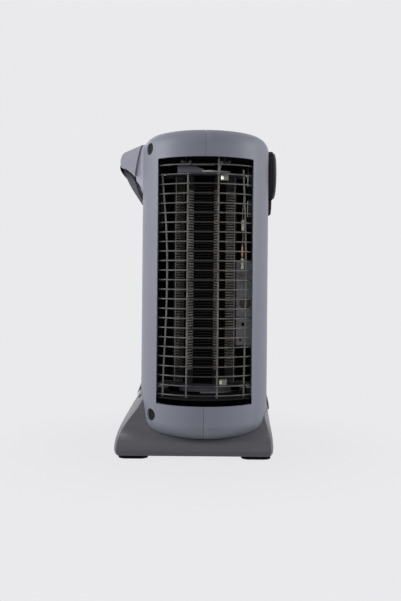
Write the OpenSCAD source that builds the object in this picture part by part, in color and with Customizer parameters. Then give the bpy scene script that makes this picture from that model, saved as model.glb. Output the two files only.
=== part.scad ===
// Two-sided tower fan heater: a stadium-plan column with a guarded window on each flank,
// a carry handle behind, a thermostat dial in front and a flared base on four pads.
// Seen along +Y the rear handle is on the left; +X is the front, +Z is up, and the origin
// is on the floor in the middle of the footprint. All lengths are in millimetres.

/* [Column] */
// How far the column's axis stands ahead of the footprint's middle
col_x = 11; // [9:0.5:13]
// Radius of the column's two rounded flanks
col_r = 88; // [86:0.5:91]
// Width of the flat front and rear faces between the flanks
col_flat = 44; // [42:1:50]
// Height of the column's underside above the floor
col_bottom = 25; // [24:0.5:28]
// Height of the column's top above the floor
col_top = 433; // [425:1:440]
// Wall of the column's two shells
shell_wall = 2.5; // [2:0.25:3]
// Rounding of the column's top and bottom edges
edge_r = 21; // [17:0.5:22]
// Gap along the seam between the front and rear shells
seam = 0.3; // [0.2:0.05:0.5]

/* [Window] */
// Half the width of each guarded window
window_half = 63.5; // [58:0.5:64]
// Height of the window's lower edge
window_low = 70.5; // [70:0.5:74]
// Height of the window's upper edge
window_high = 395.5; // [392:0.5:396]

/* [Guard] */
// Number of level guard wires in a window
guard_wires = 25; // [21:1:26]
// Diameter of a level guard wire
guard_wire_d = 1.8; // [1.4:0.1:2]
// Diameter of the upright rods that carry the wires
guard_rod_d = 2.4; // [2:0.1:3]
// Radius that the wires are bowed to
guard_bow_r = 100; // [99:0.5:104]
// Half the width of the bowed guard
guard_half = 65.5; // [64:0.25:65.5]
// Places of the inner upright rods across the window
guard_rods = [-54, -23, 17, 52.5];
// Room from the window's lower and upper edges to the end wires
guard_margin = [12.5, 8.6]; // [7:0.1:13]
// Clearance from the guard's ends to the shell
guard_gap = 0.3; // [0.2:0.1:0.6]

/* [Heating element] */
// Radius of the element over its mica ribs
element_r = 42; // [38:0.5:44]
// Number of mica ribs
rib_count = 6; // [5:1:8]
// Turn of the ribs about the column's axis
rib_turn = -4.5; // [-6:0.5:6]
// Radial depth of a rib
rib_depth = 12; // [8:1:16]
// Thickness of a rib
rib_t = 1.5; // [1:0.1:2]
// Diameter of the resistance wire
wire_d = 0.9; // [0.7:0.1:1.1]
// Number of turns of the resistance wire
wire_turns = 71; // [50:1:76]
// Rise of the wire in one turn
wire_pitch = 3.76; // [3.4:0.02:3.8]
// Room from the column's inner wall to the round end plates
plate_room = 25.5; // [24:0.5:27]
// Thickness of the end plates and brackets
plate_t = 1.5; // [1:0.1:2]
// Height of the lower end plate's underside
plate_low = 88; // [87:0.5:90]
// Height of the upper end plate's underside
plate_high = 380.5; // [379:0.5:383]
// Diameter of the rod that ties the end plates
tie_rod_d = 5; // [4:0.5:6]
// Ceramic terminal block: length, depth, height
ceramic = [11, 7, 8];

/* [Fan and motor] */
// Radius of the fan over its blades
fan_r = 50; // [46:0.5:51]
// Number of fan blades
fan_blades = 7; // [5:1:9]
// Pitch of the blades from level
blade_pitch = 32; // [25:1:38]
// Height of the fan's hub
fan_h = 14; // [12:0.5:15]
// Radius of the fan's hub
hub_r = 14; // [12:0.5:16]
// Height of the fan hub's underside
fan_z = 62; // [61:0.25:63]
// Running clearance from the blades to the shroud's collar
tip_gap = 2; // [1:0.5:3]
// Radius of the motor's can
motor_r = 26; // [22:0.5:28]
// Height of the motor's can
motor_h = 24; // [20:0.5:25]
// Diameter of the motor shaft
shaft_d = 6; // [5:0.5:7]
// Height of the shroud plate's underside
shroud_z = 78; // [77:0.5:79]

/* [Controls] */
// Height of the thermostat dial's centre
dial_z = 384; // [382:0.5:386]
// Radius of the thermostat dial
dial_r = 35; // [33:0.5:36]
// Thickness of the dial's knurled rim
dial_t = 7.4; // [7:0.1:8]
// Number of ridges round the dial
dial_ridges = 60; // [40:2:80]
// Height of the domed cap over the rim
cap_h = 3.3; // [2.5:0.1:3.4]
// Diameter of the thermostat's shaft
dial_shaft_d = 6; // [5:0.5:7]
// Mode button: how far it stands proud, its width and its height
mode_key = [6, 20, 22];
// Height of the mode button's centre
mode_z = 337; // [335:0.5:339]
// Travel of the mode button
mode_travel = 2.5; // [2:0.1:3]
// Height of the power button's centre
power_z = 60; // [59:0.5:61]
// Radius of the power button
power_r = 12; // [11:0.25:13]
// How far the power button's middle stands proud of the column's front face
power_proud = 4.4; // [4:0.1:5]
// Travel of the power button
power_travel = 1.6; // [1:0.1:1.7]

/* [Base] */
// How far the base's rear edge lies behind the column
base_behind = 29.7; // [27:0.1:32]
// How far the base's front edge lies ahead of the column
base_ahead = 4.3; // [3.5:0.1:6]
// How far the column's flanks stand out over the base's sides
base_inset = 6; // [2:0.5:8]
// Height of the crest behind the column
crest_z = 88; // [85:0.5:90]
// Rounding of the footprint's corners
base_corner = 12; // [8:0.5:16]
// Wall of the base
base_wall = 2.5; // [2:0.25:3]
// Thickness of the bottom plate
bottom_t = 2; // [1.5:0.25:3]
// Rubber pad: length, width and height
pad = [39, 20, 5];

/* [Handle] */
// Half the width of the handle's hood
hood_half = 34; // [30:0.5:38]
// Wall of the hood
hood_wall = 3; // [2.5:0.25:4]
// Half the width of the grip's strap
strap_half = 14; // [12:0.5:18]
// Half the thickness of the grip's middle web
web_half = 5; // [4:0.5:7]
// Width of the dark groove between the hood and the rear shell
groove_w = 1.8; // [1.6:0.1:2.2]
// Thickness of the rubber bumper at the handle's tip
bumper_t = 1.7; // [1.2:0.1:2]

/* [Fasteners] */
// Diameter of the screws
screw_d = 4; // [3:0.5:4]
// Diameter of a screw's head
screw_head_d = 8; // [7:0.5:9]
// Height of a screw's head
screw_head_h = 2.5; // [2:0.25:3]
// Radius of the screw holes in the rear shell
recess_r = 8; // [7:0.25:8.5]

/* [Hidden] */
$fn = 96;

// Clearances: between pieces that are screwed together, round a sliding key, and in a running fit
fit = 0.2;
slide = 0.4;
run = 0.05;
past = 20;

// Column, worked out
arc_y = col_flat / 2;
inner_r = col_r - shell_wall;
inner_low = col_bottom + shell_wall;
inner_high = col_top - shell_wall;
front_face = col_x + col_r;
rear_face = col_x - col_r;
front_inner = front_face - shell_wall;
rear_inner = rear_face + shell_wall;
post_r = 5;
join_r = 4.6;
plate_r = inner_r - plate_room;
post_hole = screw_d / 2 + run;
lip = 1;

// Screws that join the two shells
join_low = col_bottom + 29;
join_high = col_top - 22;
join_spots = [for (side = [-1, 1]) each [[side * (arc_y + col_r * 0.585), join_low],
    [side * (arc_y + col_r / 2), join_high]]];
join_seat = rear_face + 34;
join_floor = 3;
join_end = col_x + 25;

// Guard, worked out
guard_clear_r = inner_r - guard_gap - guard_wire_d / 2;
guard_end_y = arc_y + sqrt(pow(guard_clear_r, 2) - pow(guard_half, 2));
guard_cy = sqrt(pow(guard_bow_r, 2) - pow(guard_half, 2)) - guard_end_y;
guard_low = window_low + guard_margin[0];
guard_pitch = (window_high - window_low - guard_margin[0] - guard_margin[1]) / (guard_wires - 1);
guard_angle = asin(guard_half / guard_bow_r);
weld = 0.3;

// Heating element, worked out
rib_low = plate_low + plate_t + fit;
rib_high = plate_high - fit;
wire_r = wire_d / 2;
wire_seat = element_r + 0.15 + wire_r;
wire_mid = (rib_low + rib_high) / 2;
wire_start = wire_mid - wire_turns * wire_pitch / 2;
lead_angle = rib_turn - 60;
block_x = 26;
block_y = -41;
block_low = plate_low + plate_t + fit;
block_high = plate_high - fit - ceramic[2];

// Fuse chain beside the element
fuse_x = 52.5;
fuse_y = -26.5;
fuse_low = 236;
lug_t = 1.5;

// Fan and motor, worked out
bracket_z = inner_low + 4.5;
motor_z = bracket_z + 2;
collar_r = fan_r + tip_gap;
ledge_t = 4;
ledge_x = inner_r - 9;
ledge_screw_x = ledge_x + 4;

// Controls, worked out
panel_x = front_inner - 12.5;
panel_t = 1.5;
panel_low = mode_z - 25;
panel_high = dial_z + 28;
dial_back = front_face + 0.3;
cap_back = dial_back + dial_t;
body_depth = 12;
shaft_in = panel_x - 10;
key_back = front_inner - 6.5;
base_rear = base_behind - rear_face;
base_front = front_face + base_ahead;
base_half = arc_y + col_r - base_inset;
power_face = front_face + power_proud;

// Heat shields, worked out
shield_off = inner_r - 14.5;
shield_t = 1;
shield_low = plate_low - 2;
shield_high = panel_low - 4;
shield_half = 45;

// Base, worked out
base_z = pad[2];
floor_z = base_z + bottom_t;
pocket = 0.3;
saddle_z = col_bottom - pocket - base_wall;
apron_z = 79;
// Rear ramp and front apron: distance out from the column, then height over the base's underside
ramp = [[3.8, 75], [5.2, 69.5], [7.2, 64], [9, 59], [11.2, 54.5], [14.4, 49.5], [17.7, 44.5],
    [20.6, 39.5], [23.2, 34.6], [25.5, 30], [27.3, 25.6], [28.6, 19], [29.3, 13.5]];
apron = [[3.9, 30], [3.3, 35], [2.7, 40], [2.3, 45], [2, 51], [1.8, 59], [1.6, 67]];
// The flanks' flare: distance in from the side, then height; one lists the rear, one the front
flare = [[0, 7], [1.5, 13], [4, 17], [8, 20], [16, 23]];
rear_flare = [[24, 25], [30, 27.5], [34.5, 30.5], [38, 35], [40.5, 39], [43.5, 47], [46, 53],
    [50, 60], [54, 65], [56, 71]];
front_flare = [[24, 25], [31, 27.3], [38, 29.7], [43, 34], [47, 39], [51, 45], [54, 49],
    [60, 52], [70, 54.5], [78, 58], [82, 63]];
foot_edge = 2;
foot_y = base_half - 7 - pad[1] / 2;
foot_rear = 25;
foot_front = 23;

function unit(v) = v / norm(v);
function across(v, t) = unit(v - t * (v * t));
function shifted(points, by) = [for (p = points) p + by];
function reversed(points) = [for (i = [len(points) - 1:-1:0]) points[i]];

// Handle outlines in the X-Z plane, measured from the column's rear face and from its top
function at_handle(points) = [for (p = points) [rear_face + p[0], col_top + p[1]]];
parting = at_handle([[0, -11], [-3, -18], [-6, -30], [-9, -46], [-10, -54]]);
shoulder_low = at_handle([[-8.5, -61], [-3.5, -68], [-0.6, -76], [4, -86]]);
hood_top = at_handle([[-3.2, -12.2], [-22, -20.5], [-26.5, -23], [-29.3, -27], [-31, -34],
    [-30.3, -41.5]]);
hood_arch = at_handle([[-28, -43], [-23, -45], [-17, -49.3]]);
strap_low = at_handle([[-29.3, -45.5], [-28.3, -49.5], [-23, -58], [-17.6, -68], [-12, -77],
    [-3, -90.5], [-0.3, -95]]);
strap_high = at_handle([[-26, -44.6], [-21.5, -47.3], [-16.2, -52.5], [-12.2, -60.2],
    [-9.6, -68.8], [-6.5, -77.5], [-0.3, -88]]);
web_top = at_handle([[-26.2, -36], [-14, -28]]);
bumper_line = at_handle([[-30.8, -38.5], [-31.3, -42], [-30.3, -46.2], [-27.6, -51.2],
    [-24.6, -55.8]]);
bumper_half = hood_half - 12;
hood_hollow = at_handle([[-9.5, -19.5], [-20.5, -24.2], [-25.8, -28.4], [-27.6, -34],
    [-27.3, -55], [-14.5, -65], [-14.2, -54], [-13, -46], [-9.9, -30]]);
web_slot = at_handle([[-16, -62], [4, -62], [4, -27.5], [-16, -27.5]]);
hood_screw_z = col_top - 33;
hood_screw_y = hood_half - 12;

// Plan outlines
module stadium(r) {
    for (side = [-1, 1])
        translate([col_x, side * arc_y]) circle(r = r);
    translate([col_x - r, -arc_y]) square([2 * r, col_flat]);
}

// Half of a rounded profile: a wall of radius r between two heights, rounded at both ends
module rounded_half(r, low, high, round_r) {
    translate([0, low]) square([r - round_r, high - low]);
    translate([0, low + round_r]) square([r, high - low - 2 * round_r]);
    for (z = [low + round_r, high - round_r])
        translate([r - round_r, z]) circle(r = round_r);
}

// The column's solid, drawn in from its outer face by inset
module column(inset) {
    r = col_r - inset;
    low = col_bottom + inset;
    high = col_top - inset;
    round_r = edge_r - inset;
    for (side = [0, 1])
        translate([col_x, (2 * side - 1) * arc_y, 0])
            rotate([0, 0, 180 * (1 - side)])
                rotate_extrude(angle = 180)
                    intersection() {
                        rounded_half(r, low, high, round_r);
                        translate([0, low]) square([r + past, high - low]);
                    }
    translate([col_x, arc_y, 0])
        rotate([90, 0, 0])
            linear_extrude(col_flat)
                for (flip = [0, 1])
                    mirror([flip, 0])
                        rounded_half(r, low, high, round_r);
}

// An X-Z outline given a width about the middle plane
module slab(points, half) {
    translate([0, half, 0])
        rotate([90, 0, 0])
            linear_extrude(2 * half)
                polygon(points);
}

module bar_x(r, from, to, y, z) {
    translate([from, y, z])
        rotate([0, 90, 0])
            cylinder(r = r, h = to - from);
}

module screw(length) {
    cylinder(d = screw_d, h = length);
    translate([0, 0, -screw_head_h])
        cylinder(d = screw_head_d, h = screw_head_h);
}

module both_windows() {
    for (side = [-1, 1])
        translate([col_x - window_half, side > 0 ? 0 : -col_r - arc_y - past, window_low])
            cube([2 * window_half, col_r + arc_y + past, window_high - window_low]);
}

// One half of the column's wall with its window cut, from the seam outwards
module shell_wall_half(front) {
    difference() {
        intersection() {
            difference() {
                union() {
                    column(0);
                    if (!front) handle_shoulder();
                }
                column(shell_wall);
            }
            translate([front ? col_x + seam / 2 : col_x - seam / 2 - 2 * col_r,
                       -col_r - arc_y - past, 0])
                cube([2 * col_r, 2 * (col_r + arc_y + past), col_top + past]);
        }
        both_windows();
    }
}

module handle_shoulder() {
    back = shifted(parting, [groove_w / 2, 0]);
    inside = rear_inner + lip;
    slab(concat([[inside, back[0][1]]], back, shoulder_low), hood_half);
}

// Posts that stand on the inside of one shell, with their screw holes
module shell_posts(front) {
    side = front ? 1 : -1;
    near = col_x + side * seam / 2;
    for (s = join_spots)
        intersection() {
            bar_x(join_r, front ? near : join_seat + 1, front ? front_face : near, s[0], s[1]);
            column(lip);
        }
    for (y = [-1, 1])
        translate([col_x + side * base_screw_x, y * base_screw_y, col_bottom + lip])
            cylinder(r = post_r, h = 14);
    translate([col_x + side * motor_screw_x, 0, col_bottom + lip])
        cylinder(r = post_r, h = bracket_z - fit - col_bottom - lip);
    translate([col_x + side * hanger_x, 0, hanger_foot_z + plate_t + fit])
        cylinder(r = post_r, h = col_top - lip - hanger_foot_z - plate_t - fit);
    for (y = [-1, 1], z = shield_screw_z)
        if (front)
            bar_x(post_r, col_x + shield_off + shield_t + fit, front_face - lip,
                y * shield_screw_y, z);
        else
            bar_x(post_r, rear_face + lip, col_x - shield_off - shield_t - fit,
                y * shield_screw_y, z);
    translate([front ? col_x + ledge_x : rear_face + lip, -ledge_half, shroud_z - fit - ledge_t])
        cube([col_r - lip - ledge_x, 2 * ledge_half, ledge_t]);
}

base_screw_x = 45;
base_screw_y = 40;
plate_screw_r = col_r - edge_r + 3;
plate_screw_turn = 21.8;
plate_screw_x = plate_screw_r * cos(plate_screw_turn);
plate_screw_y = arc_y + plate_screw_r * sin(plate_screw_turn);
motor_screw_x = 52;
hanger_x = 29;
hanger_foot_z = 404;
shield_screw_y = 15;
shield_screw_z = [shield_low + 24, shield_high - 18];
ledge_half = 16;
ledge_screw_y = 10;
panel_screws = [for (y = [-15, 15], z = [panel_low + 6, panel_high - 5]) [y, z]];

// The front half of the column: window edges, control openings and inner posts
module front_shell() {
    color([0.56, 0.57, 0.62])
    difference() {
        union() {
            shell_wall_half(true);
            shell_posts(true);
            for (s = panel_screws)
                bar_x(post_r, panel_x + panel_t + fit, front_face - lip, s[0], s[1]);
        }
        for (s = join_spots)
            bar_x(post_hole, col_x - 1, join_end + 1, s[0], s[1]);
        for (y = [-1, 1])
            translate([col_x + base_screw_x, y * base_screw_y, col_bottom - 1])
                cylinder(r = post_hole, h = 13);
        translate([col_x + motor_screw_x, 0, inner_low])
            cylinder(r = post_hole, h = bracket_z);
        translate([col_x + hanger_x, 0, hanger_foot_z])
            cylinder(r = post_hole, h = 14);
        for (y = [-1, 1], z = shield_screw_z)
            bar_x(post_hole, col_x + shield_off, col_x + shield_off + 11, y * shield_screw_y, z);
        for (s = panel_screws)
            bar_x(post_hole, panel_x, panel_x + 11, s[0], s[1]);
        for (y = [-1, 1])
            translate([col_x + ledge_screw_x, y * ledge_screw_y, shroud_z - past])
                cylinder(r = post_hole, h = 2 * past);
        bar_x(dial_shaft_d / 2 + slide, front_inner - lip, front_face + lip, 0, dial_z);
        translate([front_inner - lip, -mode_key[1] / 2 - slide, mode_z - mode_key[2] / 2 - slide])
            cube([shell_wall + 2 * lip, mode_key[1] + 2 * slide, mode_key[2] + 2 * slide]);
        bar_x(power_r + slide, front_inner - lip, front_face + lip, 0, power_z);
    }
}

// The rear half of the column: handle shoulder, screw recesses and hidden air inlets
module rear_shell() {
    color([0.56, 0.57, 0.62])
    difference() {
        union() {
            shell_wall_half(false);
            shell_posts(false);
            for (s = join_spots)
                intersection() {
                    bar_x(recess_r + 2, rear_face, join_seat + join_floor, s[0], s[1]);
                    column(0);
                }
        }
        for (s = join_spots) {
            bar_x(recess_r, rear_face - past, join_seat, s[0], s[1]);
            bar_x(post_hole, join_seat - 1, col_x + 1, s[0], s[1]);
        }
        for (y = [-1, 1])
            translate([col_x - base_screw_x, y * base_screw_y, col_bottom - 1])
                cylinder(r = post_hole, h = 13);
        translate([col_x - motor_screw_x, 0, inner_low])
            cylinder(r = post_hole, h = bracket_z);
        translate([col_x - hanger_x, 0, hanger_foot_z])
            cylinder(r = post_hole, h = 14);
        for (y = [-1, 1], z = shield_screw_z)
            bar_x(post_hole, col_x - shield_off - 11, col_x - shield_off, y * shield_screw_y, z);
        for (y = [-1, 1])
            translate([col_x - ledge_screw_x, y * ledge_screw_y, shroud_z - past])
                cylinder(r = post_hole, h = 2 * past);
        for (y = [-1, 1]) {
            bar_x(post_hole, rear_face - past, rear_inner + lip, y * hood_screw_y, hood_screw_z);
            bar_x(screw_head_d / 2 + slide, rear_inner, rear_inner + past, y * hood_screw_y, hood_screw_z);
        }
        for (z = [col_bottom + 20, col_bottom + 29, col_bottom + 38])
            translate([rear_face - 1, -inlet_half, z])
                cube([shell_wall + 2, 2 * inlet_half, inlet_h]);
    }
}

inlet_half = 30;
inlet_h = 5;

// The base's outer form: three outlines crossed, drawn in by inset
module base_form(inset) {
    rear = -base_rear + inset;
    front = base_front - inset;
    side = concat([[rear_face - 0.6 + inset, crest_z - inset]],
        [for (p = ramp) [rear_face - p[0] + inset, base_z + p[1]]],
        [[rear, base_z + 8], [rear, base_z + foot_edge], [rear + foot_edge, base_z],
         [rear + foot_edge, 0], [front - foot_edge, 0], [front - foot_edge, base_z],
         [front, base_z + foot_edge], [front, base_z + 24]],
        [for (p = apron) [front_face + p[0] - inset, base_z + p[1]]],
        [[front_face + 1.5 - inset, apron_z - inset]]);
    intersection() {
        slab(side, 2 * base_half);
        union() {
            flank_form(concat(flare, rear_flare), inset, -2 * base_rear, col_x);
            flank_form(concat(flare, front_flare), inset, col_x - 1, 2 * base_rear);
        }
        linear_extrude(crest_z + past)
            footprint(inset);
    }
}

// The flanks' outline seen from the front, between two places along X
module flank_form(line, inset, from, to) {
    half = [for (p = line) [base_half - p[0] - inset, base_z + p[1]]];
    top = crest_z + 2 - inset;
    last = half[len(half) - 1][0] - 2;
    edge = base_half - foot_edge - inset;
    right = concat([[edge, 0], [edge, base_z], [base_half - inset, base_z + foot_edge]],
        half, [[last, top]]);
    translate([from, 0, 0])
        rotate([90, 0, 90])
            linear_extrude(to - from)
                polygon(concat(right, [for (p = reversed(right)) [-p[0], p[1]]]));
}

module footprint(inset) {
    r = base_corner - inset;
    rear = -base_rear + inset;
    front = base_front - inset;
    half = base_half - inset;
    translate([rear + r, -half]) square([front - rear - 2 * r, 2 * half]);
    translate([rear, -half + r]) square([front - rear, 2 * (half - r)]);
    for (x = [rear + r, front - r], y = [-half + r, half - r])
        translate([x, y]) circle(r = r);
}

gland_y = 52;
gland_z = 22;
gland_r = 6;
plunger_x = -30;
plunger_r = 4;
louvre_half = 38;

// The flared base: a hollow moulding that the column sits down into
module base_shell() {
    color([0.31, 0.31, 0.33])
    difference() {
        union() {
            difference() {
                base_form(0);
                translate([0, 0, -base_wall])
                    difference() {
                        base_form(base_wall);
                        translate([0, 0, base_wall]) column(-pocket - base_wall);
                    }
            }
            for (x = [-1, 1], y = [-1, 1])
                translate([col_x + x * plate_screw_x, y * plate_screw_y, floor_z + fit])
                    cylinder(r = post_r, h = saddle_z + lip - floor_z - fit);
        }
        column(-pocket);
        translate([-2 * base_rear, -2 * base_half, -past])
            cube([4 * base_rear, 4 * base_half, past + base_z]);
        for (x = [-1, 1], y = [-1, 1]) {
            translate([col_x + x * base_screw_x, y * base_screw_y, saddle_z - 1])
                cylinder(r = screw_d / 2 + slide, h = base_wall + 2);
            translate([col_x + x * plate_screw_x, y * plate_screw_y, floor_z])
                cylinder(r = post_hole, h = 11);
        }
        bar_x(power_r + slide, front_face - lip, base_front + past, 0, power_z);
        bar_x(gland_r + run, -base_rear - past, -base_rear + 20, gland_y, gland_z);
        for (z = [crest_z - 10, crest_z - 20.5])
            translate([rear_face - 6, -louvre_half, z])
                rotate([0, -louvre_rise, 0])
                    translate([-past, 0, -louvre_h / 2])
                        cube([past + 6, 2 * louvre_half, louvre_h]);
    }
}

louvre_h = 2.4;
louvre_rise = 42;

module base_plate() {
    color([0.2, 0.2, 0.21])
    difference() {
        translate([0, 0, base_z])
            linear_extrude(bottom_t)
                footprint(base_wall + fit);
        for (x = [-1, 1], y = [-1, 1])
            translate([col_x + x * plate_screw_x, y * plate_screw_y, 0])
                cylinder(r = screw_d / 2 + fit, h = past);
        translate([plunger_x, 0, 0])
            cylinder(r = plunger_r + slide, h = past);
    }
}

module rubber_feet() {
    color([0.12, 0.12, 0.13])
    for (y = [-1, 1]) {
        foot([-base_rear + foot_rear, y * foot_y]);
        foot([base_front - foot_front, y * foot_y]);
    }
}

// One pad with rounded ends, standing on the floor
module foot(at) {
    end = pad[1] / 2;
    translate([at[0], at[1], 0])
        linear_extrude(pad[2]) {
            square([pad[0] - pad[1], pad[1]], center = true);
            for (side = [-1, 1])
                translate([side * (pad[0] / 2 - end), 0]) circle(r = end);
        }
}

module handle_hood() {
    color([0.57, 0.57, 0.62])
    difference() {
        union() {
            difference() {
                slab(concat(shifted(parting, [-groove_w / 2, 0]), reversed(hood_arch),
                    reversed(hood_top)), hood_half);
                slab(hood_hollow, hood_half - hood_wall);
                slab(web_slot, web_half + fit);
            }
            for (y = [-1, 1])
                bar_x(post_r, rear_face - 24, rear_face - 9, y * hood_screw_y, hood_screw_z);
        }
        for (y = [-1, 1])
            bar_x(post_hole, rear_face - 23, rear_face, y * hood_screw_y, hood_screw_z);
    }
}

// The dark grip: a strap under the hood, a web up its middle and a flange in the groove
module handle_grip() {
    color([0.36, 0.36, 0.37])
    difference() {
        union() {
            slab(concat(strap_low, reversed(strap_high)), strap_half);
            slab(concat([strap_high[0]], [for (i = [2:6]) strap_low[i]],
                [[rear_face - 0.3, shoulder_low[2][1] - 2]],
                shifted([shoulder_low[1], shoulder_low[0]], [-1.2, -1]),
                [parting[4], parting[3], parting[2]], reversed(web_top)), web_half);
            slab(concat(shifted(parting, [groove_w / 2 - fit, 0]),
                reversed(shifted(parting, [-groove_w / 2 + fit, 0]))), hood_half - 1);
        }
        for (y = [-1, 1])
            bar_x(screw_d / 2 + fit, rear_face - past, rear_face, y * hood_screw_y, hood_screw_z);
    }
}

module handle_bumper() {
    centre = [rear_face - 12, col_top - 36];
    outer = [for (p = bumper_line) p + bumper_t * unit(p - centre)];
    color([0.08, 0.08, 0.09])
        slab(concat(bumper_line, reversed(outer)), bumper_half);
}

module handle_screws() {
    color("silver")
    for (y = [-1, 1])
        translate([rear_inner, y * hood_screw_y, hood_screw_z])
            rotate([0, -90, 0])
                screw(24);
}

// Dark plugs that lie just under the surface in the rear shell's four screw holes
module screw_plugs() {
    color([0.27, 0.27, 0.29])
    for (s = join_spots)
        intersection() {
            bar_x(recess_r - run, rear_face, join_seat - screw_head_h - 2, s[0], s[1]);
            column(0.6);
        }
}

module shell_screws() {
    color("silver")
    for (s = join_spots)
        translate([join_seat, s[0], s[1]])
            rotate([0, 90, 0])
                screw(join_end - join_seat);
}

module base_screws() {
    color("silver")
    for (x = [-1, 1], y = [-1, 1])
        translate([col_x + x * base_screw_x, y * base_screw_y, saddle_z])
            screw(12);
}

module plate_screws() {
    color("silver")
    for (x = [-1, 1], y = [-1, 1])
        translate([col_x + x * plate_screw_x, y * plate_screw_y, base_z])
            screw(11);
}

// A bowed grille: level wires welded to upright rods that stand on the shroud
module guard() {
    reach = guard_bow_r - guard_wire_d / 2 - guard_rod_d / 2 + weld;
    top_z = guard_low + (guard_wires - 1) * guard_pitch;
    rod_z = shroud_z + plate_t + fit;
    color([0.42, 0.43, 0.46]) {
        for (i = [0:guard_wires - 1])
            translate([col_x, guard_cy, guard_low + i * guard_pitch])
                rotate([0, 0, 270 - guard_angle])
                    rotate_extrude(angle = 2 * guard_angle)
                        translate([guard_bow_r, 0]) circle(d = guard_wire_d, $fn = 24);
        for (x = concat([-guard_half + 1.5], guard_rods, [guard_half - 1.5]))
            translate([col_x + x, guard_cy - sqrt(pow(reach, 2) - pow(x, 2)), rod_z])
                cylinder(d = guard_rod_d, h = top_z + 4 - rod_z, $fn = 24);
    }
}

module guard_near() {
    guard();
}

module guard_far() {
    mirror([0, 1, 0]) guard();
}

module end_plate(z) {
    difference() {
        translate([col_x, 0, z]) cylinder(r = plate_r, h = plate_t);
        translate([col_x, 0, z - 1]) cylinder(d = tie_rod_d + 2 * fit, h = plate_t + 2);
    }
}

module element_bottom_plate() {
    color([0.5, 0.5, 0.52]) end_plate(plate_low);
}

module element_top_plate() {
    color([0.5, 0.5, 0.52]) end_plate(plate_high);
}

bracket_half = 9;
bracket_foot = 8;

// The strip under the element, standing on the shroud on two bent legs
module element_bottom_bracket() {
    foot_z = shroud_z + plate_t + fit;
    color([0.45, 0.46, 0.5])
    difference() {
        for (flip = [0, 1])
            translate([col_x, 0, 0])
                mirror([flip, 0, 0]) {
                    translate([0, -bracket_half, plate_low - plate_t])
                        cube([plate_r, 2 * bracket_half, plate_t]);
                    translate([plate_r - plate_t, -bracket_half, foot_z])
                        cube([plate_t, 2 * bracket_half, plate_low - foot_z]);
                    translate([plate_r - plate_t, -bracket_half, foot_z])
                        cube([bracket_foot, 2 * bracket_half, plate_t]);
                }
        translate([col_x, 0, plate_low - 2 * plate_t])
            cylinder(d = tie_rod_d + 2 * fit, h = 3 * plate_t);
    }
}

// The strip over the element, hung from the two posts under the column's top
module element_top_bracket() {
    low = plate_high + plate_t;
    reach = hanger_x - bracket_foot;
    color([0.45, 0.46, 0.5])
    difference() {
        for (flip = [0, 1])
            translate([col_x, 0, 0])
                mirror([flip, 0, 0]) {
                    translate([0, -bracket_half, low])
                        cube([reach, 2 * bracket_half, plate_t]);
                    translate([reach - plate_t, -bracket_half, low])
                        cube([plate_t, 2 * bracket_half, hanger_foot_z + plate_t - low]);
                    translate([reach - plate_t, -bracket_half, hanger_foot_z])
                        cube([2 * bracket_foot, 2 * bracket_half, plate_t]);
                }
        translate([col_x, 0, low - 1])
            cylinder(d = tie_rod_d + 2 * fit, h = 2 * plate_t);
        for (side = [-1, 1])
            translate([col_x + side * hanger_x, 0, hanger_foot_z - 1])
                cylinder(r = screw_d / 2 + fit, h = 2 * plate_t);
    }
}

module bracket_screws() {
    color("silver")
    for (side = [-1, 1])
        translate([col_x + side * hanger_x, 0, hanger_foot_z])
            screw(13);
}

module mica_ribs() {
    color([0.62, 0.6, 0.55])
    for (i = [0:rib_count - 1])
        translate([col_x, 0, rib_low])
            rotate([0, 0, rib_turn + i * 360 / rib_count])
                translate([element_r - rib_depth, -rib_t / 2, 0])
                    cube([rib_depth, rib_t, rib_high - rib_low]);
}

// The resistance wire's path: up from one terminal block, round the ribs and up to the other.
// The wire bends only where it crosses a rib, so a turn has one point for each rib.
lead = [col_x + block_x, block_y];
turn_points = [for (i = [0:wire_turns * rib_count])
    [col_x + wire_seat * cos(lead_angle + i * 360 / rib_count),
     wire_seat * sin(lead_angle + i * 360 / rib_count),
     wire_start + i * wire_pitch / rib_count]];
wire_path = concat(
    [[lead[0], lead[1], block_low + ceramic[2] + fit],
     [lead[0], lead[1], block_low + ceramic[2] + fit + wire_d]],
    turn_points,
    [[lead[0], lead[1], block_high - fit - wire_d],
     [lead[0], lead[1], block_high - fit]]);

function headings(path) = [for (i = [0:len(path) - 1])
    unit(unit(path[min(i + 1, len(path) - 1)] - path[max(min(i, len(path) - 2), 0)])
        + unit(path[max(i, 1)] - path[max(i - 1, 0)]))];

// A closed tube along a path, its rings carried along without twisting
module tube(path, r, sides) {
    t = headings(path);
    n = len(path);
    u = [for (i = 0, v = across([1, 0, 0], t[0]); i < n;
        i = i + 1, v = i < n ? across(v, t[i]) : v) v];
    points = [for (i = [0:n - 1], k = [0:sides - 1])
        let (a = 360 * k / sides)
            path[i] + r * (cos(a) * u[i] + sin(a) * cross(t[i], u[i]))];
    skin = [for (i = [0:n - 2], k = [0:sides - 1])
        let (a = i * sides + k, b = i * sides + (k + 1) % sides)
            each [[a, a + sides, b], [b, a + sides, b + sides]]];
    caps = [for (k = [1:sides - 2])
        each [[0, k, k + 1], [(n - 1) * sides, (n - 1) * sides + k + 1, (n - 1) * sides + k]]];
    polyhedron(points, concat(skin, caps));
}

// Least gap between turns, measured on the path's own points
wire_gap = min([for (i = [0:len(wire_path) - 1 - rib_count + 1], k = [rib_count - 2:rib_count + 2])
    if (i + k < len(wire_path)) norm(wire_path[i] - wire_path[i + k])]) - wire_d;
echo(least_gap_between_turns_mm = wire_gap);

module heating_wire() {
    color([0.4, 0.36, 0.35])
        tube(wire_path, wire_r, 6);
}

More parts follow.
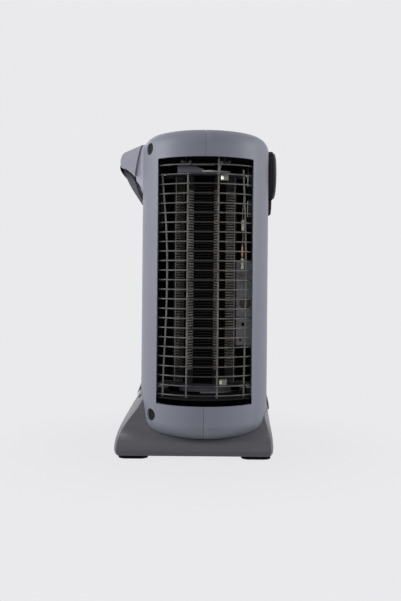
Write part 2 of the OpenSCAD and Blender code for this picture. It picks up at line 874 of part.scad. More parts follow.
// White ceramic terminal blocks on the end plates, one pair for each flank
module ceramic_blocks() {
    color([0.88, 0.87, 0.84])
    for (turn = [0, 180], z = [block_low, block_high])
        translate([col_x, 0, z])
            rotate([0, 0, turn])
                translate([block_x - ceramic[0] / 2, block_y - ceramic[1] / 2, 0])
                    cube(ceramic);
}

module tie_rod() {
    color("silver")
    translate([col_x, 0, plate_low - plate_t - 5])
        cylinder(d = tie_rod_d, h = plate_high - plate_low + 3 * plate_t + 10);
}

module tie_nuts() {
    nut_h = 4;
    color("silver")
    for (z = [plate_low - plate_t - nut_h, plate_high + 2 * plate_t])
        translate([col_x, 0, z])
            difference() {
                cylinder(d = 9.2, h = nut_h, $fn = 6);
                translate([0, 0, -1]) cylinder(d = tie_rod_d + 2 * run, h = nut_h + 2);
            }
}

sleeve_r = 2.4;
chain_top = plate_high - fit;

// The fuse and its two leads, from the block on the shield's lug up to the top plate
module thermal_fuse() {
    color([0.72, 0.5, 0.36])
    translate([col_x + fuse_x, fuse_y, 0]) {
        translate([0, 0, fuse_low + 10 + fit]) cylinder(r = 0.6, h = chain_top - fuse_low - 10 - fit);
        translate([0, 0, fuse_low + 33]) cylinder(r = 1.9, h = 12);
    }
}

module fuse_sleeves() {
    color([0.9, 0.88, 0.8])
    translate([col_x + fuse_x, fuse_y, 0])
        for (z = [fuse_low + 14, fuse_low + 68])
            translate([0, 0, z])
                difference() {
                    cylinder(r = sleeve_r, h = 15);
                    translate([0, 0, -1]) cylinder(r = 0.6 + run, h = 17);
                }
}

module fuse_block() {
    color([0.9, 0.89, 0.86])
    translate([col_x + fuse_x - 4, fuse_y - 4, fuse_low])
        cube([8, 8, 10]);
}

module shield(side) {
    x = col_x + (side > 0 ? shield_off : -shield_off - shield_t);
    difference() {
        translate([x, -shield_half, shield_low])
            cube([shield_t, 2 * shield_half, shield_high - shield_low]);
        for (y = [-1, 1], z = shield_screw_z)
            bar_x(screw_d / 2 + fit, x - 1, x + 2, y * shield_screw_y, z);
    }
}

// The sheet that keeps heat off the controls, with the lug that carries the fuse block
module heat_shield_front() {
    color([0.3, 0.31, 0.33]) {
        shield(1);
        translate([col_x + fuse_x - 4, fuse_y - 4, fuse_low - lug_t - fit])
            cube([shield_off - fuse_x + 4.5, 8, lug_t]);
    }
}

module heat_shield_rear() {
    color([0.22, 0.22, 0.24]) shield(-1);
}

module shield_screws() {
    color("silver")
    for (side = [-1, 1], y = [-1, 1], z = shield_screw_z)
        translate([col_x + side * shield_off, y * shield_screw_y, z])
            rotate([0, side * 90, 0])
                screw(11);
}

baffle_t = 1;
baffle_in = wire_seat + wire_r + 1.3;
fold_in = 3;
fold_long = 11;
baffle_top = panel_x - body_depth - col_x - 1.2;
core_r = element_r - rib_depth - 0.5;
cutout_low = 141;
cutout_high = 262;
cutout_near = -baffle_t / 2 - fit;
cutout_r = 8;
cutout_x = (baffle_in + shield_off) / 2;

// Two sheets beside the element that divide the air between the two windows, their edges folded
// out along the winding
module air_baffles() {
    color([0.14, 0.14, 0.15])
    for (flip = [0, 1])
        translate([col_x, 0, 0])
            mirror([flip, 0, 0]) {
                translate([baffle_in, -baffle_t / 2, rib_low])
                    cube([baffle_top - baffle_in, baffle_t, rib_high - rib_low]);
                translate([baffle_in, -baffle_t / 2, rib_low])
                    cube([shield_off - fit - baffle_in, baffle_t, shield_high - rib_low]);
                for (side = [-1, 1])
                    translate([baffle_in, 0, rib_low])
                        linear_extrude(rib_high - rib_low)
                            polygon([[0, 0], [baffle_t, 0], [baffle_t - fold_in, side * fold_long],
                                [-fold_in, side * fold_long]]);
            }
}

// The tube inside the ribs that turns the air outwards through the wire
module core_tube() {
    color([0.12, 0.12, 0.13])
    translate([col_x, 0, rib_low])
        difference() {
            cylinder(r = core_r, h = rib_high - rib_low);
            translate([0, 0, -1]) cylinder(r = core_r - 1, h = rib_high - rib_low + 2);
        }
}

// The bright sheet on the front baffle, and the cutout that it carries
module cutout_plate() {
    color([0.62, 0.63, 0.68])
    translate([col_x + baffle_in + 1, cutout_near - 1, cutout_low])
        cube([shield_off - 1 - baffle_in - 1, 1, cutout_high - cutout_low]);
}

module thermal_cutout() {
    color([0.75, 0.72, 0.66])
    translate([col_x + cutout_x, cutout_near - 1 - fit, (cutout_low + cutout_high) / 2])
        rotate([90, 0, 0]) {
            cylinder(r = cutout_r, h = 5);
            translate([0, 0, 5]) cylinder(r = 5, h = 2.5);
        }
}

// The plate under the element with the collar that the fan turns in
module fan_shroud() {
    color([0.2, 0.2, 0.22])
    difference() {
        union() {
            translate([0, 0, shroud_z])
                linear_extrude(plate_t)
                    stadium(inner_r - fit);
            translate([col_x, 0, fan_z - 2])
                cylinder(r = collar_r + 2, h = shroud_z - fan_z + 2);
        }
        translate([col_x, 0, 0]) cylinder(r = collar_r, h = shroud_z + past);
        for (side = [-1, 1], y = [-1, 1])
            translate([col_x + side * ledge_screw_x, y * ledge_screw_y, shroud_z - 1])
                cylinder(r = screw_d / 2 + fit, h = plate_t + 2);
    }
}

module shroud_screws() {
    color("silver")
    for (side = [-1, 1], y = [-1, 1])
        translate([col_x + side * ledge_screw_x, y * ledge_screw_y, shroud_z + plate_t])
            rotate([180, 0, 0])
                screw(ledge_t + 3);
}

motor_wall = 2;

// The strip that carries the motor, screwed to two posts in the column's bottom
module motor_bracket() {
    half = 16;
    reach = motor_screw_x + 8;
    color([0.45, 0.46, 0.5])
    difference() {
        translate([col_x - reach, -half, bracket_z])
            cube([2 * reach, 2 * half, motor_z - bracket_z]);
        for (side = [-1, 1])
            translate([col_x + side * motor_screw_x, 0, bracket_z - 1])
                cylinder(r = screw_d / 2 + fit, h = 4);
        translate([col_x, 0, bracket_z - 1])
            cylinder(d = shaft_d + 2, h = 4);
    }
}

module motor_screws() {
    color("silver")
    for (side = [-1, 1])
        translate([col_x + side * motor_screw_x, 0, motor_z])
            rotate([180, 0, 0])
                screw(6);
}

module motor_can() {
    color([0.5, 0.5, 0.53])
    translate([col_x, 0, motor_z])
        difference() {
            cylinder(r = motor_r, h = motor_h - motor_wall - fit);
            translate([0, 0, motor_wall]) cylinder(r = motor_r - motor_wall, h = motor_h);
            translate([0, 0, -1]) cylinder(d = shaft_d + 2 * run, h = motor_h);
        }
}

module motor_end_cap() {
    color([0.42, 0.42, 0.45])
    translate([col_x, 0, motor_z + motor_h - motor_wall])
        difference() {
            cylinder(r = motor_r, h = motor_wall);
            translate([0, 0, -1]) cylinder(d = shaft_d + 2 * run, h = motor_h);
        }
}

module motor_rotor() {
    inside = motor_h - 2 * motor_wall - fit;
    color([0.55, 0.52, 0.5])
    translate([col_x, 0, motor_z]) {
        cylinder(d = shaft_d, h = fan_z + fan_h - motor_z);
        translate([0, 0, motor_wall + 1])
            cylinder(r = motor_r - motor_wall - 2, h = inside - 2);
    }
}

// A hub with pitched blades, trimmed to the shroud's round opening
module fan_impeller() {
    blade_t = 1.6;
    chord = 24;
    color([0.16, 0.16, 0.17])
    translate([col_x, 0, fan_z])
        difference() {
            union() {
                cylinder(r = hub_r, h = fan_h);
                intersection() {
                    for (i = [0:fan_blades - 1])
                        rotate([0, 0, i * 360 / fan_blades])
                            translate([0, 0, fan_h / 2])
                                rotate([blade_pitch, 0, 0])
                                    translate([hub_r - 3, -chord / 2, -blade_t / 2])
                                        cube([fan_r, chord, blade_t]);
                    cylinder(r = fan_r, h = fan_h);
                }
            }
            translate([0, 0, -1]) cylinder(d = shaft_d + 2 * run, h = fan_h + 2);
        }
}

// The steel plate behind the front wall that carries the thermostat and the mode switch
module control_plate() {
    color([0.55, 0.56, 0.58])
    difference() {
        translate([panel_x, -20, panel_low])
            cube([panel_t, 40, panel_high - panel_low]);
        for (s = panel_screws)
            bar_x(screw_d / 2 + fit, panel_x - 1, panel_x + 3, s[0], s[1]);
        bar_x(dial_shaft_d / 2 + 1, panel_x - 1, panel_x + 3, 0, dial_z);
        translate([panel_x - 1, -4, mode_z - 4]) cube([4, 8, 8]);
    }
}

module control_screws() {
    color("silver")
    for (s = panel_screws)
        translate([panel_x, s[0], s[1]])
            rotate([0, 90, 0])
                screw(11);
}

module thermostat_body() {
    color([0.2, 0.2, 0.22])
    difference() {
        bar_x(15, panel_x - body_depth - fit, panel_x - fit, 0, dial_z);
        bar_x(dial_shaft_d / 2 + run, shaft_in - 1, panel_x + 1, 0, dial_z);
    }
}

module thermostat_shaft() {
    color("silver")
        bar_x(dial_shaft_d / 2, shaft_in, cap_back - 1, 0, dial_z);
}

// The knurled rim, turned on its edge; the ridges are a star outline
module thermostat_dial() {
    groove = 0.8;
    star = [for (i = [0:2 * dial_ridges - 1])
        let (r = dial_r - (i % 2) * groove, a = 180 * i / dial_ridges) r * [cos(a), sin(a)]];
    color([0.14, 0.14, 0.15])
    translate([dial_back, 0, dial_z])
        rotate([0, 90, 0])
            difference() {
                linear_extrude(dial_t) polygon(star);
                translate([0, 0, -1])
                    difference() {
                        cylinder(r = dial_r - 4, h = dial_t - 1.5);
                        cylinder(r = dial_shaft_d / 2 + 3, h = dial_t);
                    }
                translate([0, 0, -1]) cylinder(d = dial_shaft_d + 2 * run, h = dial_t);
            }
}

module dial_cap() {
    r = dial_r - 2;
    color([0.2, 0.2, 0.21])
    translate([cap_back, 0, dial_z])
        rotate([0, 90, 0])
            rotate_extrude()
                polygon([[0, 0], [r, 0], [r, cap_h * 0.35], [r - 1.5, cap_h * 0.72],
                    [r - 5, cap_h * 0.93], [r - 11, cap_h], [0, cap_h]]);
}

module mode_button() {
    key = mode_key;
    rim = 2;
    color([0.14, 0.14, 0.15]) {
        translate([key_back + 3, -key[1] / 2, mode_z - key[2] / 2])
            cube([front_face + key[0] - key_back - 3, key[1], key[2]]);
        translate([key_back + 3, -key[1] / 2 - rim, mode_z - key[2] / 2 - rim])
            cube([2, key[1] + 2 * rim, key[2] + 2 * rim]);
        translate([shaft_in + 4, -2.5, mode_z - 2.5])
            cube([key_back + 4 - shaft_in - 4, 5, 5]);
    }
}

module mode_switch() {
    color([0.18, 0.18, 0.2])
    difference() {
        translate([panel_x - body_depth - fit, -12, mode_z - 11])
            cube([body_depth, 24, 22]);
        translate([shaft_in, -2.5 - slide, mode_z - 2.5 - slide])
            cube([body_depth, 5 + 2 * slide, 5 + 2 * slide]);
    }
}

power_back = front_inner - 8;

power_tilt = 10;
power_dome = 1;
face_r = power_r - 1.4;

// A round push button with a flange that keeps it in and a domed face that leans with the apron
module power_button() {
    long = power_face - power_back;
    color([0.16, 0.16, 0.18]) {
        translate([power_back, 0, power_z])
            rotate([0, 90, 0]) {
                cylinder(r = power_r, h = long - 3.2);
                translate([0, 0, 3]) cylinder(r = power_r + 1.5, h = 2);
                translate([0, 0, -6]) cylinder(r = 2.5, h = 6);
            }
        translate([power_face, 0, power_z])
            rotate([0, 90 - power_tilt, 0])
                rotate_extrude()
                    polygon([[0, -5.6], [face_r, -5.6], [face_r, -power_dome],
                        [face_r - 1.2, -0.35], [face_r - 4, -0.1], [0, 0]]);
    }
}

// The power switch, held against the front wall on two arms
module power_switch() {
    arm = 4;
    half = power_r + 3;
    color([0.18, 0.18, 0.2])
    difference() {
        translate([power_back - 14, -half - arm, power_z - 8])
            cube([front_inner - fit - power_back + 14, 2 * (half + arm), 13]);
        translate([power_back - 3, -half, power_z - 9])
            cube([past, 2 * half, 15]);
        bar_x(2.5 + slide, power_back - 6 - power_travel - 0.5, power_back, 0, power_z);
    }
}

plunger_low = 0.4;
plunger_high = 14;

// The plunger that the floor holds up, and the switch that it works
module tip_plunger() {
    color([0.75, 0.75, 0.72])
    translate([plunger_x, 0, plunger_low]) {
        cylinder(r = plunger_r, h = plunger_high - plunger_low);
        translate([0, 0, floor_z + 4.5 - plunger_low]) cylinder(r = plunger_r + 2.5, h = 1.5);
    }
}

module tip_switch() {
    color([0.18, 0.18, 0.2])
    difference() {
        translate([plunger_x - 12, -9, floor_z])
            cube([24, 18, 13]);
        translate([plunger_x, 0, floor_z - 1])
            cylinder(r = plunger_r + 2.5 + slide, h = 11);
    }
}

module terminal_block() {
    color([0.85, 0.84, 0.8])
    translate([-75, 25, floor_z])
        cube([16, 34, 12]);
}

// The cord's bush in the base's rear slope, with its bore left open
module cord_gland() {
    out = -base_rear + 0.8;
    long = 16;
    bore_r = 3.2;
    color([0.1, 0.1, 0.11])
    difference() {
        bar_x(gland_r, out, out + long, gland_y, gland_z);
        bar_x(bore_r, out - 1, out + long + 1, gland_y, gland_z);
    }
}

front_shell();
rear_shell();
base_shell();
base_plate();
rubber_feet();
handle_hood();
handle_grip();
handle_bumper();
screw_plugs();
shell_screws();
base_screws();
plate_screws();
handle_screws();
guard_near();
guard_far();
element_bottom_plate();
element_top_plate();
element_bottom_bracket();
element_top_bracket();
bracket_screws();
mica_ribs();
heating_wire();
ceramic_blocks();
tie_rod();
tie_nuts();
thermal_fuse();
fuse_sleeves();
fuse_block();
heat_shield_front();
heat_shield_rear();
shield_screws();
air_baffles();
core_tube();
cutout_plate();
thermal_cutout();
fan_shroud();
shroud_screws();
motor_bracket();
motor_screws();
motor_can();
motor_end_cap();
motor_rotor();
fan_impeller();
control_plate();
control_screws();
thermostat_body();
thermostat_shaft();
thermostat_dial();
dial_cap();
mode_button();
mode_switch();
power_button();
power_switch();
tip_plunger();
tip_switch();
terminal_block();
cord_gland();
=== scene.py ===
from math import asin, cos, pi, radians, sin, sqrt

import bmesh
import bpy
from mathutils import Matrix, Vector


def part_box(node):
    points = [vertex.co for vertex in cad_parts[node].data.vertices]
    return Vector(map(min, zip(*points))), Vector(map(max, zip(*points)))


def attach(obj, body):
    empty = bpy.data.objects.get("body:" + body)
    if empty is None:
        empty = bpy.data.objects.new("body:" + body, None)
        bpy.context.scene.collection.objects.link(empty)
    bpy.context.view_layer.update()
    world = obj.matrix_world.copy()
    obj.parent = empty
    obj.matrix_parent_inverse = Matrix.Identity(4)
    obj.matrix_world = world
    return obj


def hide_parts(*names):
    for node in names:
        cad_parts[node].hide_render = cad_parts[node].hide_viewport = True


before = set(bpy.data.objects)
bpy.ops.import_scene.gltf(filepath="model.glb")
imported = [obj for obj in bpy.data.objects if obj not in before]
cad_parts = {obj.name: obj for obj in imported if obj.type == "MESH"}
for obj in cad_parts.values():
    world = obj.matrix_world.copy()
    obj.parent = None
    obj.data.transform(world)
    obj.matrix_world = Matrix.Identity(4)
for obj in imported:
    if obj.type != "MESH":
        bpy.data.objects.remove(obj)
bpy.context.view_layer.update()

# The camera looks square at one flank of the heater from just over a metre away, at about half its
# height. The small turn about its own axis is the photograph's: the column's edges lean a little.
lens = bpy.data.cameras.new("camera")
lens.lens, lens.sensor_width = 45.5, 36
lens.shift_x, lens.shift_y = -0.0073, -0.0424
camera = bpy.data.objects.new("camera", lens)
camera.matrix_world = (
    Matrix.Translation((0.011, -1.092, 0.2415)) @ Matrix.Rotation(radians(90), 4, "X")
    @ Matrix.Rotation(radians(0.5), 4, "Z"))
bpy.context.scene.collection.objects.link(camera)
bpy.context.scene.camera = camera
bpy.context.scene.view_settings.view_transform = "Standard"


# The studio: a pale floor that fades into an even backdrop and keeps the heater's shadow, a soft world,
# and large soft lamps to the left and right that leave the middle of the flank a little darker.
class Flow:
    """One socket of a node tree, or the tree alone. Python's operators add the Math nodes."""

    def __init__(self, tree, socket=None):
        self.tree, self.socket = tree, socket

    def node(self, kind, settings=None, inputs=None, out=0):
        made = self.tree.nodes.new(kind)
        for name, value in (settings or {}).items():
            if name == "stops":
                stops = made.color_ramp.elements
                while len(stops) < len(value):
                    stops.new(1)
                for stop, (place, colour) in zip(stops, value):
                    stop.position, stop.color = place, colour
            else:
                setattr(made, name, value)
        for name, value in (inputs or {}).items():
            if isinstance(value, Flow):
                self.tree.links.new(value.socket, made.inputs[name])
            else:
                made.inputs[name].default_value = value
        return Flow(self.tree, made.outputs[out] if made.outputs else None)

    def maths(self, operation, *values):
        return self.node("ShaderNodeMath", {"operation": operation}, dict(enumerate(values)))

    def __add__(self, other):
        return self.maths("ADD", self, other)

    def __sub__(self, other):
        return self.maths("SUBTRACT", self, other)

    def __mul__(self, other):
        return self.maths("MULTIPLY", self, other)

    def __rsub__(self, other):
        return self.maths("SUBTRACT", other, self)

    __radd__, __rmul__ = __add__, __mul__

    def ramp(self, low, high, to_low=0.0, to_high=1.0):
        """The value between low and high, eased from to_low to to_high and held outside them."""
        return self.node("ShaderNodeMapRange", {"interpolation_type": "SMOOTHSTEP"},
                         {0: self, 1: low, 2: high, 3: to_low, 4: to_high})

    def blend(self, first, second):
        """A colour from first to second, by this value."""
        return self.node("ShaderNodeMix", {"data_type": "RGBA"}, {0: self, 6: first, 7: second}, 2)

    def noise(self, place, scale, detail=2.0, rough=0.5):
        return self.node("ShaderNodeTexNoise", None,
                         {"Vector": place, "Scale": scale, "Detail": detail, "Roughness": rough})

    def stretched(self, place, factors):
        return self.node("ShaderNodeVectorMath", {"operation": "MULTIPLY"}, {0: place, 1: factors})

    def part(self, place):
        """A point's X, Y and Z."""
        made = self.node("ShaderNodeSeparateXYZ", None, {0: place}).socket.node
        return [Flow(self.tree, made.outputs[i]) for i in range(3)]


def plain(red, green, blue):
    """A screen colour from 0 to 255 as the linear colour that a shader takes."""
    linear = [(c / 255 / 12.92) if c < 10.31 else ((c / 255 + 0.055) / 1.055) ** 2.4
              for c in (red, green, blue)]
    return (*linear, 1.0)


def new_material(name):
    made = bpy.data.materials.new(name)
    made.use_nodes = True
    made.node_tree.nodes.clear()
    return made, Flow(made.node_tree)


def looked_at(flow):
    """1 for the rays of the camera, of a reflection and of glass, which show the backdrop, else 0."""
    ray = flow.node("ShaderNodeLightPath").socket.node
    camera_ray, glossy_ray, glass_ray = (
        Flow(flow.tree, ray.outputs[f"Is {kind} Ray"]) for kind in ("Camera", "Glossy", "Transmission"))
    return flow.maths("MAXIMUM", camera_ray, flow.maths("MAXIMUM", glossy_ray, glass_ray))


backdrop = plain(234, 234, 236)
shadow_from, shadow_to, shadow_left = 0.12, 0.36, 0.93
floor_material, m = new_material("studio_floor")
away = m.node("ShaderNodeVectorMath", {"operation": "LENGTH"},
              {0: m.node("ShaderNodeTexCoord", out=3)}, 1)
paper = m.node("ShaderNodeBsdfDiffuse", None, {"Color": plain(196, 196, 198)})
glow = m.node("ShaderNodeEmission", None, {"Color": backdrop, "Strength": 1.0})
share = looked_at(m) * away.ramp(shadow_from, shadow_to, shadow_left, 1.0)
m.node("ShaderNodeOutputMaterial", None,
       {0: m.node("ShaderNodeMixShader", None, {0: share, 1: paper, 2: glow})})
floor_mesh = bpy.data.meshes.new("studio_floor")
floor_half = 6
floor_mesh.from_pydata([(x * floor_half, y * floor_half, 0) for x, y in ((-1, -1), (1, -1), (1, 1), (-1, 1))],
                       [], [(0, 1, 2, 3)])
floor_mesh.materials.append(floor_material)
floor = bpy.data.objects.new("studio_floor", floor_mesh)
bpy.context.scene.collection.objects.link(floor)

world = bpy.data.worlds.new("studio")
bpy.context.scene.world = world
world.use_nodes = True
world.node_tree.nodes.clear()
w = Flow(world.node_tree)
ambient = 0.34
w.node("ShaderNodeOutputWorld", None, {0: w.node("ShaderNodeMixShader", None, {
    0: looked_at(w),
    1: w.node("ShaderNodeBackground", None, {"Color": plain(250, 250, 255), "Strength": ambient}),
    2: w.node("ShaderNodeBackground", None, {"Color": backdrop, "Strength": 1.0})})})


def soft_lamp(name, place, aim, width, height, watts):
    lamp = bpy.data.lights.new(name, "AREA")
    lamp.shape, lamp.size, lamp.size_y, lamp.energy = "RECTANGLE", width, height, watts
    made = bpy.data.objects.new(name, lamp)
    made.location = place
    made.rotation_mode = "QUATERNION"
    made.rotation_quaternion = (Vector(aim) - Vector(place)).to_track_quat("-Z", "Y")
    bpy.context.scene.collection.objects.link(made)


soft_lamp("left_lamp", (-1.75, -0.2, 0.85), (0, 0, 0.3), 0.9, 1.2, 18)
soft_lamp("right_lamp", (1.75, -0.1, 0.85), (0, 0, 0.3), 0.9, 1.2, 11)
soft_lamp("front_lamp", (0.2, -2.2, 0.9), (0, 0, 0.25), 1.6, 1.0, 2)
soft_lamp("back_lamp", (-0.3, 2.1, 1.1), (0, 0, 0.22), 1.6, 1.2, 12)


# The column is two moulded shells of pale blue-grey plastic that meet along a fine seam. They are
# stadium-shaped in plan with rounded top and bottom edges, and a tall window is cut in each flank. The
# rear shell carries a shoulder for the handle, painted paler as painted light, and the front shell a lip
# behind the seam. The shells' inner faces are painted near-black as painted shade.
def new_piece(name, mesh, body="heater"):
    """A mesh as a piece that rides on a body; its place is in its mesh."""
    made = bpy.data.objects.new(name, mesh)
    bpy.context.scene.collection.objects.link(made)
    if body:
        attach(made, body)
    return made


def mesh_of(name, points, faces, merge=1e-6):
    """A closed mesh with its doubles merged and its faces turned outwards."""
    mesh = bpy.data.meshes.new(name)
    mesh.from_pydata(points, [], faces)
    shape = bmesh.new()
    shape.from_mesh(mesh)
    bmesh.ops.remove_doubles(shape, verts=shape.verts, dist=merge)
    bmesh.ops.dissolve_degenerate(shape, edges=shape.edges, dist=1e-7)
    bmesh.ops.recalc_face_normals(shape, faces=shape.faces)
    shape.to_mesh(mesh)
    shape.free()
    return mesh


def settle(piece):
    """Put the modifiers' result in the piece's own mesh."""
    graph = bpy.context.evaluated_depsgraph_get()
    graph.update()
    made = bpy.data.meshes.new_from_object(piece.evaluated_get(graph), preserve_all_data_layers=True,
                                           depsgraph=graph)
    piece.modifiers.clear()
    old, piece.data = piece.data, made
    bpy.data.meshes.remove(old)
    made.name = piece.name


def carve(piece, tool_mesh, operation="DIFFERENCE"):
    """Cut a closed mesh from the piece, or join it on, and drop the tool."""
    tool = bpy.data.objects.new("tool", tool_mesh)
    bpy.context.scene.collection.objects.link(tool)
    cut = piece.modifiers.new("cut", "BOOLEAN")
    cut.operation, cut.solver, cut.object = operation, "EXACT", tool
    settle(piece)
    bpy.data.objects.remove(tool)
    bpy.data.meshes.remove(tool_mesh)


def round_edges(piece, width, segments=3, over=35):
    """Round the edges that turn by more than the angle in degrees, then shade the piece smoothly."""
    made = piece.modifiers.new("edges", "BEVEL")
    made.width, made.segments, made.limit_method = width, segments, "ANGLE"
    made.angle_limit, made.use_clamp_overlap, made.miter_outer = radians(over), True, "MITER_ARC"
    settle(piece)
    shade(piece)


def shade(piece, over=38):
    piece.data.shade_smooth()
    piece.data.set_sharp_from_angle(angle=radians(over))
    weighted = piece.modifiers.new("weighted", "WEIGHTED_NORMAL")
    weighted.keep_sharp, weighted.weight = True, 100
    settle(piece)


front_low, front_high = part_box("front_shell")
rear_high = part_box("rear_shell")[1]
axis_x = (front_low.x + rear_high.x) / 2
seam_gap = front_low.x - rear_high.x
flank_r = front_high.x - axis_x
flat_half = front_high.y - flank_r
column_low, column_high = front_low.z, front_high.z
wall, edge_r = 0.0025, 0.021
window_half, window_low, window_high, window_steps = 0.0635, 0.0705, 0.3955, 16
rear_x = axis_x - flank_r


def column_points(side, inset, low_cut, high_cut, gap=seam_gap / 2):
    """Rings of points over one half of the column, from the middle of its underside to that of its top."""
    radius, corner = flank_r - inset, edge_r - inset
    low, high = column_low + inset, column_high - inset
    rings = [(r, low) for r in (0, 0.03, 0.055)]
    quarter, upright, beside, on_flat = 10, 24, 14, 8
    for i in range(quarter + 1):
        t = pi / 2 * i / quarter
        rings.append((radius - corner + corner * sin(t), low + corner * (1 - cos(t))))
    rings += [(radius, low_cut + (high_cut - low_cut) * i / upright) for i in range(upright + 1)]
    top = [(r, high - (z - low)) for r, z in rings[:quarter + 4]]
    rings += top[::-1]
    edge = asin(window_half / radius)
    turns = [edge * i / window_steps for i in range(window_steps + 1)]
    turns += [edge + (pi / 2 - edge) * i / beside for i in range(1, beside + 1)]
    flat = [flat_half * (1 - 2 * i / on_flat) for i in range(on_flat + 1)]
    rows = []
    for r, z in rings:
        row = [(axis_x + side * max(r * sin(t), gap), flat_half + r * cos(t), z) for t in turns]
        row += [(axis_x + side * max(r, gap), y, z) for y in flat[1:-1]]
        row += [(x, -y, z) for x, y, z in row[len(turns) - 1::-1]]
        rows.append(row)
    return rows


def column_half(name, side):
    """Half of the column as a closed wall with its window, its rims cut square to the flank."""
    sheets = [column_points(side, inset, window_low, window_high) for inset in (0, wall)]
    rows, across = len(sheets[0]), len(sheets[0][0])
    count = rows * across
    points = [p for sheet in sheets for row in sheet for p in row]
    faces = []
    for i in range(rows - 1):
        middle = (sheets[0][i][0][2] + sheets[0][i + 1][0][2]) / 2
        in_window = window_low < middle < window_high
        for j in range(across - 1):
            if in_window and (j < window_steps or j >= across - 1 - window_steps):
                continue
            a, b = i * across + j, (i + 1) * across + j
            faces.append((a, a + 1, b + 1, b) if side > 0 else (a, b, b + 1, a + 1))
    edges = dict.fromkeys((a, b) for face in faces for a, b in zip(face, face[1:] + face[:1]))
    rims = [(b, a, a + count, b + count) for a, b in edges if (b, a) not in edges]
    inner = [tuple(k + count for k in reversed(face)) for face in faces]
    return mesh_of(name, points, faces + inner + rims, 1e-5)


def rod_mesh(name, start, end, radius, sides=48):
    """A plain round bar between two points, for cutting holes."""
    shape = bmesh.new()
    bmesh.ops.create_cone(shape, cap_ends=True, segments=sides, radius1=radius, radius2=radius,
                          depth=(Vector(end) - Vector(start)).length)
    turn = (Vector(end) - Vector(start)).to_track_quat("Z", "Y").to_matrix().to_4x4()
    shape.transform(Matrix.Translation((Vector(start) + Vector(end)) / 2) @ turn)
    mesh = bpy.data.meshes.new(name)
    shape.to_mesh(mesh)
    shape.free()
    return mesh


def block_mesh(name, low, high):
    """A box between two corners."""
    shape = bmesh.new()
    bmesh.ops.create_cube(shape, size=1)
    low, high = Vector(low), Vector(high)
    shape.transform(Matrix.Translation((low + high) / 2) @ Matrix.Diagonal((*(high - low), 1)))
    mesh = bpy.data.meshes.new(name)
    shape.to_mesh(mesh)
    shape.free()
    return mesh


def slab_mesh(name, outline, half, steps=1):
    """An X-Z outline given a width about the middle plane."""
    n = len(outline)
    levels = [half * (2 * k / steps - 1) for k in range(steps + 1)]
    points = [(x, y, z) for y in levels for x, z in outline]
    faces = [tuple(range(n)), tuple(steps * n + i for i in reversed(range(n)))]
    faces += [(k * n + i, (k + 1) * n + i, (k + 1) * n + (i + 1) % n, k * n + (i + 1) % n)
              for k in range(steps) for i in range(n)]
    return mesh_of(name, points, faces)


def curved(points, steps=5):
    """A smooth line through the points."""
    ends = [points[0]] + list(points) + [points[-1]]
    made = []
    for i in range(1, len(ends) - 2):
        p = [Vector(ends[i + k]) for k in (-1, 0, 1, 2)]
        for s in range(steps):
            t = s / steps
            made.append(tuple(0.5 * (2 * p[1] + (p[2] - p[0]) * t
                                     + (2 * p[0] - 5 * p[1] + 4 * p[2] - p[3]) * t ** 2
                                     + (3 * p[1] - p[0] - 3 * p[2] + p[3]) * t ** 3)))
    return made + [tuple(points[-1])]


def at_handle(*points):
    """Millimetres from the column's rear face and its top, as X and Z in metres."""
    return [(rear_x + x / 1000, column_high + z / 1000) for x, z in points]


def shifted(points, by):
    return [(x + by, z) for x, z in points]


def toned(colour, by, lift=0.0):
    """A linear colour made darker or paler."""
    return [min(c * by + lift, 1) for c in colour[:3]] + [1]


def surfaced(made, m, colour, rough, height, strength, relief, **more):
    """End a material in one surface with a fine relief; more names its other sockets."""
    bump = m.node("ShaderNodeBump", None, {"Strength": strength, "Distance": relief, "Height": height})
    surface = m.node("ShaderNodeBsdfPrincipled", None, {
        "Base Color": colour, "Roughness": rough, "Normal": bump} | more)
    m.node("ShaderNodeOutputMaterial", None, {0: surface})
    return made


def moulded_plastic(name, colour, grain=0.00022, rough=0.48, uneven=0.05, relief=0.00002, gloss=0.5,
                    worn=0.12, painted_sheen=0.0):
    """Injection-moulded plastic: fine spark-eroded grain, faint flow marks, paler edges, and painted sheen on
    faces turned to the ends.
    """
    made, m = new_material(name)
    place = m.node("ShaderNodeTexCoord", out=3)
    flow = m.noise(m.stretched(place, (9, 9, 3)), 1.0, 3.0)
    cloud = m.noise(place, 55.0, 3.0)
    fine = m.noise(place, 1 / grain, 2.0, 0.6)
    speck = m.noise(place, 0.37 / grain, 2.0)
    shade_of = (flow - 0.5) * uneven + (cloud - 0.5) * uneven * 0.6 + (speck - 0.5) * uneven * 0.5
    body = (shade_of + 0.5).blend(toned(colour, 0.8), toned(colour, 1.22))
    edge = m.node("ShaderNodeNewGeometry", out=7).ramp(0.52, 0.6)
    lit = (edge * worn).blend(body, toned(colour, 1.7, 0.03))
    # Painted sheen: faces turned towards the left and right ends are made paler, more so higher up.
    if painted_sheen:
        ends = m.maths("ABSOLUTE", m.part(m.node("ShaderNodeNewGeometry", out=1))[0]).ramp(0.12, 0.62)
        high_up = m.part(place)[2].ramp(0.012, 0.05, 0.15, 1.0)
        lit = (ends * high_up * painted_sheen).blend(lit, toned(colour, 2.7))
    return surfaced(made, m, lit, (cloud - 0.5) * 0.14 + (speck - 0.5) * 0.1 + rough,
                    fine * 0.7 + speck * 0.3, 0.55, relief, **{"Specular IOR Level": gloss})


shell_grey = moulded_plastic("shell_grey", plain(139, 142, 155))
# The shells' inner faces are painted near-black: painted shade for the dark inside of the column.
inside_painted_shade = moulded_plastic("shell_inside", plain(26, 26, 28), rough=0.7, worn=0.0, gloss=0.2)


